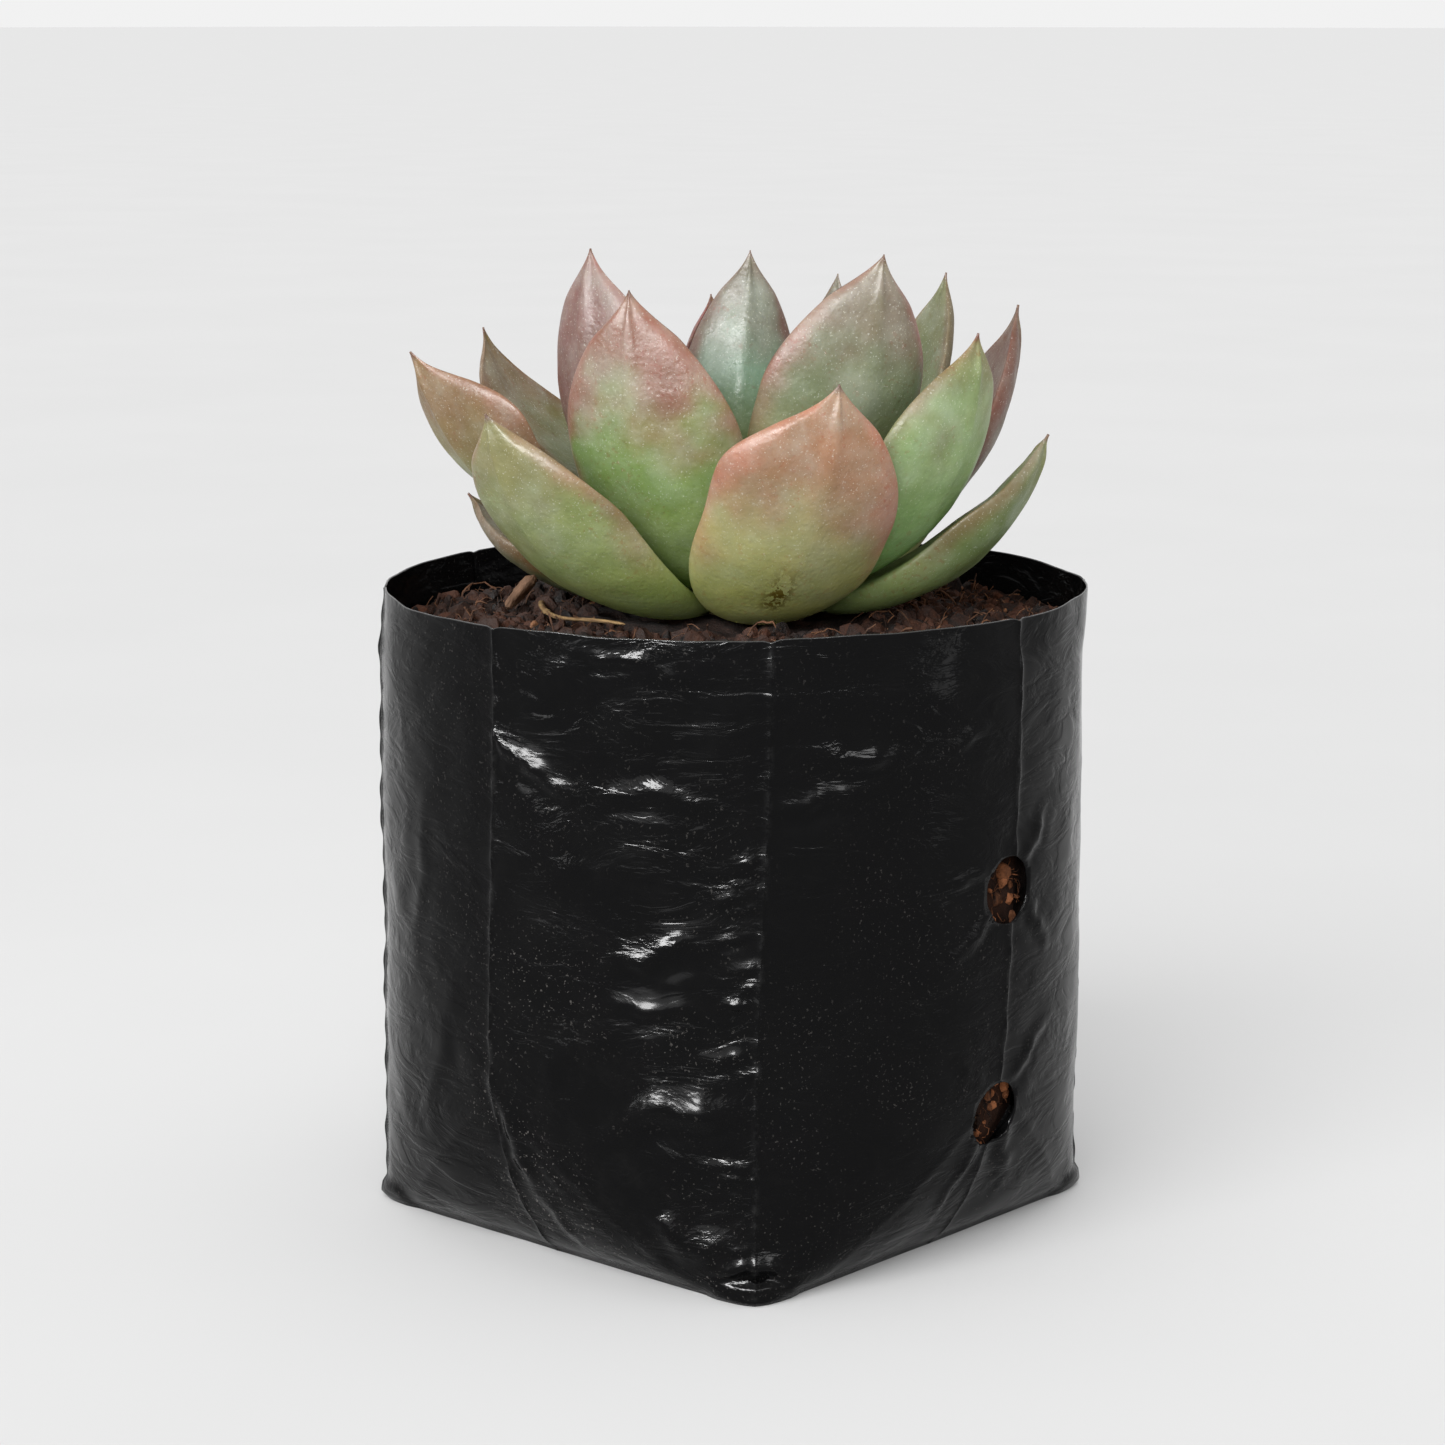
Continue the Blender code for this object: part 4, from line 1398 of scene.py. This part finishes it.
        # the foot colour carries painted light that cancels the shade at the leaf's foot, and all four carry
        # some painted light and shade
        foot, middle, tip, rim = (self.palette.colour(n)[None, None] for n in range(4))
        drift = 0.13 * Lumps(7.0 * MM, 41).at(points) + 0.06 * Lumps(2.2 * MM, 42).at(points)
        blush = ease(t + drift + self.flush + 0.10 * np.abs(across), 0.55, 0.93)[..., None]
        body = foot + (middle - foot) * ease(t, 0.28, 0.62)[..., None]
        colour = body + (tip - body) * blush
        margin = (ease(np.abs(across) + 1.1 * drift, 0.70, 1.0) * ease(t, 0.25, 0.6))[..., None]
        colour = colour + (rim - colour) * 0.8 * margin
        point = ease(t, 0.965, 0.995)[..., None]
        return colour + (np.array(srgb(SIZE.point))[None, None] - colour) * point

    def build(self, skin: Material) -> Thing:
        """The finished leaf.

        Args:
            skin: the leaf material.

        Returns:
            The fitted piece.
        """
        points, across, depth = self.rows()
        mesh = Stock.loft(self.name, points)
        Stock.paint(mesh, "tint", self.tint(points, across).reshape(-1, 3))
        t = self.shares()[:, None] * np.ones_like(across)
        Stock.paint(mesh, "bloom", (0.45 + 0.55 * ease(t, 0.2, 0.8)).ravel())
        spot = 1.3 * np.exp(-(((across + 0.06) / 0.11) ** 2)) * ease(t, 0.24, 0.32) * ease(t, 0.50, 0.36)
        Stock.paint(mesh, "scar", (self.scar * spot * (depth < 0.0)).ravel())
        return Stock.fit(Stock.place(f"{self.name}_skin", mesh, skin), "leaf_green", self.name)


P = Palette
LEAVES: tuple[Leaf, ...] = (
    Leaf("leaf_outer_1", 61, 34.3, 34.7, 2.4, 25.5, 2, 76, P.ROSE, 15, -6, flush=0.06, scar=1.0, bulge=-2.2),
    Leaf("leaf_outer_2", 122, 41, 25.5, 2.6, 21, 0, 60, P.SLENDER, left=0.78, right=0.84, flush=-0.08),
    Leaf("leaf_outer_3", 181, 43, 24, 2.5, 22, 2, 52, P.OLIVE),
    Leaf("leaf_outer_4", 237, 42, 22, 2.6, 19, 2, 50, P.MOSS),
    Leaf("leaf_outer_5", 294, 41.5, 15, 2.8, 18, 2, 45, P.MOSS),
    Leaf("leaf_outer_6", 347, 42.4, 30.1, 2.5, 24, 2, 66, P.OLIVE, -2, 18, wave=0.6, bulge=1.0),
    Leaf("leaf_middle_1", 8, 28.5, 46.1, 5.8, 25, 15, 84, P.FRESH, -6, 15, flush=0.02),
    Leaf("leaf_middle_2", 100, 35.2, 40.1, 5.8, 24, 15, 78, P.GREEN, 3, -8, flush=-0.08),
    Leaf("leaf_middle_3", 150, 39.6, 41.5, 5.8, 20, 15, 78, P.DUSK, -4, -10, bulge=2.2),
    Leaf("leaf_middle_4", 203, 36, 38, 5.8, 19, 15, 72, P.TAN),
    Leaf("leaf_middle_5", 254, 40, 35, 5.9, 19, 15, 68, P.SAGE, thick=4.8),
    Leaf("leaf_middle_6", 318, 46.2, 36.5, 6.1, 24, 15, 60, P.TAN, 10, 36, thick=4.6, wave=0.7, right=1.05,
         bulge=3.6),
    Leaf("leaf_inner_1", 80, 28, 50.6, 8.8, 25, 45, 75, P.SAGE, 5, -26, right=0.82, flush=-0.04),
    Leaf("leaf_inner_2", 331, 22.6, 50.5, 8.8, 23.5, 35, 88, P.MAUVE, -15, 25, flush=0.12),
    Leaf("leaf_inner_3", 160, 31.4, 45.8, 9.4, 18, 32, 78, P.FERN, -4, thick=4.4, right=0.86, flush=-0.1),
    Leaf("leaf_inner_4", 230, 27, 40, 8.8, 18, 35, 82, P.BLUE),
    Leaf("leaf_inner_5", 287.5, 41, 38, 8.8, 18, 30, 74, P.MOSS, thick=4.3, flush=0.08, bulge=1.8),
    Leaf("leaf_centre_1", 42, 8.1, 50.3, 11.4, 16, 55, 90, P.BLUE, 12, thick=4.4, right=0.88, flush=-0.05),
    Leaf("leaf_centre_2", 170, 15.7, 46, 12.2, 14, 66, 84, P.BLUE, 6, thick=3.1),
    Leaf("leaf_centre_3", 255, 9.6, 43.3, 11.4, 13, 60, 84, P.MAUVE, thick=4.0),
    Leaf("leaf_centre_4", 321, 8, 34, 12.8, 11, 62, 92, P.BLUE, thick=2.9),
    Leaf("leaf_centre_5", 98, 7.5, 33, 12.6, 11, 62, 92, P.BLUE, thick=2.9),
    Leaf("leaf_bud_1", 20, 2.2, 30, 15.4, 6.6, 62, 102, P.BLUE, thick=2.0, wave=0.0),
    Leaf("leaf_bud_2", 140, 2.2, 28, 15.4, 6.6, 62, 102, P.BLUE, thick=2.0, wave=0.0),
    Leaf("leaf_bud_3", 260, 2.2, 29, 15.4, 6.6, 62, 102, P.BLUE, thick=2.0, wave=0.0),
)


class Rosette:
    """The plant: its leaves in whorls and the stem that carries them."""

    def build(self, skin: Material, earth: EarthFinish) -> list[Thing]:
        """Every leaf and the stem.

        Args:
            skin: the leaf material.
            earth: makes the stem's brown.

        Returns:
            Every piece of the plant.
        """
        made = [leaf.build(skin) for leaf in LEAVES]
        bark = earth.make(Brown("stem_skin", (0.10, 0.085, 0.035), (0.27, 0.25, 0.12), 0.15))
        made.append(Worn("stem", "stem_skin", "stem_green", 3, 0.25, 3.0, 0.5).build(bark))
        return made


# ---------------------------------------------------------------- loose pieces


@dataclass(frozen=True)
class Worn:
    """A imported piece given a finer, rougher surface.

    cuts is how many times its faces are halved, rough how far in millimetres its surface wanders, grain the
    size in millimetres of the unevenness, and tone its place between the finish's two colours.
    """

    node: str
    name: str
    slot: str
    cuts: int
    rough: float
    grain: float
    tone: float

    def build(self, material: Material) -> Thing:
        """The finished piece.

        Args:
            material: what it wears.

        Returns:
            The fitted piece.
        """
        source = bpy.data.objects[self.node]
        mesh = source.data.copy()
        mesh.transform(source.matrix_world)
        made = Stock.place(self.name, mesh, material)
        weld = made.modifiers.new("weld", "WELD")
        weld.merge_threshold = 1e-6
        for number in range(self.cuts):
            step = made.modifiers.new("cut", "SUBSURF")
            step.subdivision_type = "SIMPLE" if number else "CATMULL_CLARK"
            step.levels = step.render_levels = 1
        fine = Stock.bake(made)
        made.modifiers.clear()
        points = np.empty(len(fine.vertices) * 3)
        fine.vertices.foreach_get("co", points)
        points = points.reshape(-1, 3)
        normals = np.empty(len(fine.vertices) * 3)
        fine.vertices.foreach_get("normal", normals)
        wander = Lumps(self.grain * MM, 51).at(points) + 0.5 * Lumps(0.4 * self.grain * MM, 52).at(points)
        points = points + normals.reshape(-1, 3) * (self.rough * MM * wander)[:, None]
        fine.vertices.foreach_set("co", points.ravel())
        fine.polygons.foreach_set("use_smooth", [True] * len(fine.polygons))
        Stock.paint(fine, "tone", np.clip(self.tone + 0.25 * Lumps(1.1 * MM, 53).at(points), 0.0, 1.0))
        made.data = fine
        fine.materials.clear()
        fine.materials.append(material)
        return Stock.fit(made, self.slot, self.node)


@dataclass(frozen=True)
class Straw:
    """A dry split stalk lying in front of the leaves."""

    start: float = 303.0
    end: float = 369.0
    distance: float = 26.5
    radius: float = 0.5
    arch: float = 0.8
    clear: float = 1.1
    rings: int = 90
    sides: int = 16

    def build(self, mix: PottingMix, bag: GrowBag, material: Material) -> Thing:
        """The finished stalk, grooved, knotted and narrowed at its end.

        Args:
            mix: what it lies on.
            bag: the bag round it.
            material: what it wears.

        Returns:
            The fitted piece.
        """
        share = np.linspace(0.0, 1.0, self.rings)[:, None]
        out = ray(self.start + (self.end - self.start) * share[:, 0])[:, None]
        level = float(mix.level(self.distance * MM, bag.mouth)) / MM + self.clear + self.radius
        middle = out * self.distance + np.stack((0 * share, 0 * share, level + self.arch * share), axis=-1)
        turn = -2.0 * math.pi * np.arange(self.sides)[None] / self.sides
        knot = 1.0 + 0.45 * np.exp(-(((share - 0.38) / 0.012) ** 2))
        knot = knot + 0.3 * np.exp(-(((share - 0.81) / 0.01) ** 2))
        groove = 1.0 - 0.16 * np.abs(np.sin(3.0 * turn + 4.0 * share))
        reach = self.radius * (1.0 - 0.35 * share) * knot * groove * (1.0 - 0.7 * ease(share, 0.97, 1.0))
        flat = np.stack((reach * np.cos(turn), reach * 0.75 * np.sin(turn)), axis=-1)
        rows = middle + out * flat[..., :1]
        rows[..., 2] += flat[..., 1] + 0.25 * np.sin(9.0 * share) * ease(share, 0.0, 0.2)
        mesh = Stock.loft("straw_stalk_split", rows * MM)
        Stock.paint(mesh, "tone", (0.55 + 0.3 * np.sin(3.0 * turn + 20.0 * share)).ravel())
        return Stock.fit(Stock.place("straw_stalk_split", mesh, material), "straw_yellow", "straw_stalk")


class Litter:
    """Bark chips and a stalk lying on the mix."""

    def build(self, mix: PottingMix, bag: GrowBag, earth: EarthFinish) -> list[Thing]:
        """Every loose piece.

        Args:
            mix: what they lie on.
            bag: the bag round them.
            earth: makes their browns.

        Returns:
            The fitted pieces.
        """
        pale = earth.make(Brown("bark_pale", (0.085, 0.040, 0.020), (0.26, 0.145, 0.085)))
        dark = earth.make(Brown("bark_dark", (0.030, 0.013, 0.007), (0.16, 0.075, 0.04)))
        straw = earth.make(Brown("dry_straw", (0.13, 0.065, 0.024), (0.36, 0.23, 0.10)))
        made = []
        for number, bark, tone in ((1, pale, 0.6), (2, dark, 0.5), (3, dark, 0.5)):
            name = f"bark_chip_{number}"
            made.append(Worn(name, f"{name}_rough", "bark_brown", 4, 0.22, 1.4, tone).build(bark))
        made.append(Straw().build(mix, bag, straw))
        return made


# ---------------------------------------------------------------- the studio


@dataclass(frozen=True)
class Gleam:
    """A bright panel that only shapes the highlights.

    turn is its bearing from the camera's side of the bag and climb its angle up from level, in degrees. wide
    and tall are its sides, shine its radiance, away its distance and aim the height that it faces.
    """

    name: str
    turn: float
    climb: float
    wide: float
    tall: float
    shine: float
    away: float = 1.1
    aim: float = 0.05

    def build(self, view: float) -> Thing:
        """The panel, turned to the bag.

        Args:
            view: the camera's bearing.

        Returns:
            The light.
        """
        data = bpy.data.lights.new(self.name, "AREA")
        data.shape, data.size, data.size_y = "RECTANGLE", self.wide, self.tall
        data.energy = self.shine * math.pi * self.wide * self.tall
        made = Stock.link(self.name, data)
        up, middle = math.radians(self.climb), Vector((0.0, 0.0, self.aim))
        out = ray(view + self.turn) * math.cos(up) + [0.0, 0.0, math.sin(up)]
        made.location = Vector(self.away * out) + middle
        made.rotation_euler = (middle - made.location).to_track_quat("-Z", "Y").to_euler()
        made.visible_diffuse = made.visible_camera = False
        return made


@dataclass(frozen=True)
class Studio:
    """A pale sweep, soft lights and the camera."""

    view: float = 41.7
    distance: float = 0.504
    eye: float = 0.164
    pitch: float = 10.81
    lens: float = 91.8
    sensor: float = 36.0
    offset: float = -1.41 * MM
    grey: float = 0.885
    key_power: float = 2.7
    key_spread: float = 60.0
    key_place: tuple[float, float, float] = (-0.34, 0.81, 0.47)
    paper: float = 60.0

    def at(self, right: float, near: float, up: float) -> tuple[float, float, float]:
        """A place given from the bag as the camera sees it: to the right, towards the camera, and up."""
        turn = math.radians(self.view)
        return (right * math.cos(turn) + near * math.sin(turn),
                right * math.sin(turn) - near * math.cos(turn), up)

    def build(self) -> None:
        """Puts up the sweep, the lights, the world and the camera."""
        self.sweep()
        self.sun()
        for gleam in (
            Gleam("band", -38.0, 27.0, 1.20, 0.26, 150.0),
            Gleam("band_right", 32.0, 27.0, 0.40, 0.22, 26.0),
            Gleam("strip_left", -62.0, 8.0, 0.10, 0.60, 12.0),
            Gleam("strip_right", 68.0, 8.0, 0.10, 0.60, 4.0),
        ):
            gleam.build(self.view)
        world = bpy.data.worlds.new("studio")
        world.use_nodes = True
        world.node_tree.nodes["Background"].inputs[0].default_value = (self.grey, self.grey, self.grey, 1.0)
        world.node_tree.nodes["Background"].inputs[1].default_value = 1.0
        bpy.context.scene.world = world
        data = bpy.data.cameras.new("camera")
        data.lens, data.sensor_width = self.lens, self.sensor
        camera = Stock.link("camera", data)
        camera.location = self.at(self.offset, self.distance, self.eye)
        camera.rotation_euler = (math.radians(90.0 - self.pitch), 0.0, math.radians(self.view))
        bpy.context.scene.camera = camera
        bpy.context.scene.view_settings.view_transform = "Standard"

    def sun(self) -> None:
        """The broad key light from the upper left, even over the whole sweep."""
        data = bpy.data.lights.new("key", "SUN")
        data.energy, data.angle = self.key_power, math.radians(self.key_spread)
        made = Stock.link("key", data)
        made.rotation_euler = (-Vector(self.at(*self.key_place))).to_track_quat("-Z", "Y").to_euler()

    def sweep(self) -> None:
        """A wide level sheet of paper."""
        mesh = bpy.data.meshes.new("paper_sweep")
        corners = ((-1.0, -1.0), (1.0, -1.0), (1.0, 1.0), (-1.0, 1.0))
        mesh.from_pydata([(x * self.paper, y * self.paper, 0.0) for x, y in corners], [], [(0, 1, 2, 3)])
        Stock.place("paper_sweep", mesh, StudioFinish().make())


def main() -> None:
    """Builds every part in order."""
    logging.basicConfig(level=logging.INFO, format="%(name)s %(message)s")
    bag, mix, earth = GrowBag(), PottingMix(), EarthFinish()
    bag.build(FilmFinish().make())
    mix.build(bag, earth)
    Rosette().build(LeafFinish().make("leaf_skin"), earth)
    Litter().build(mix, bag, earth)
    Studio().build()


if __name__ == "__main__":
    main()
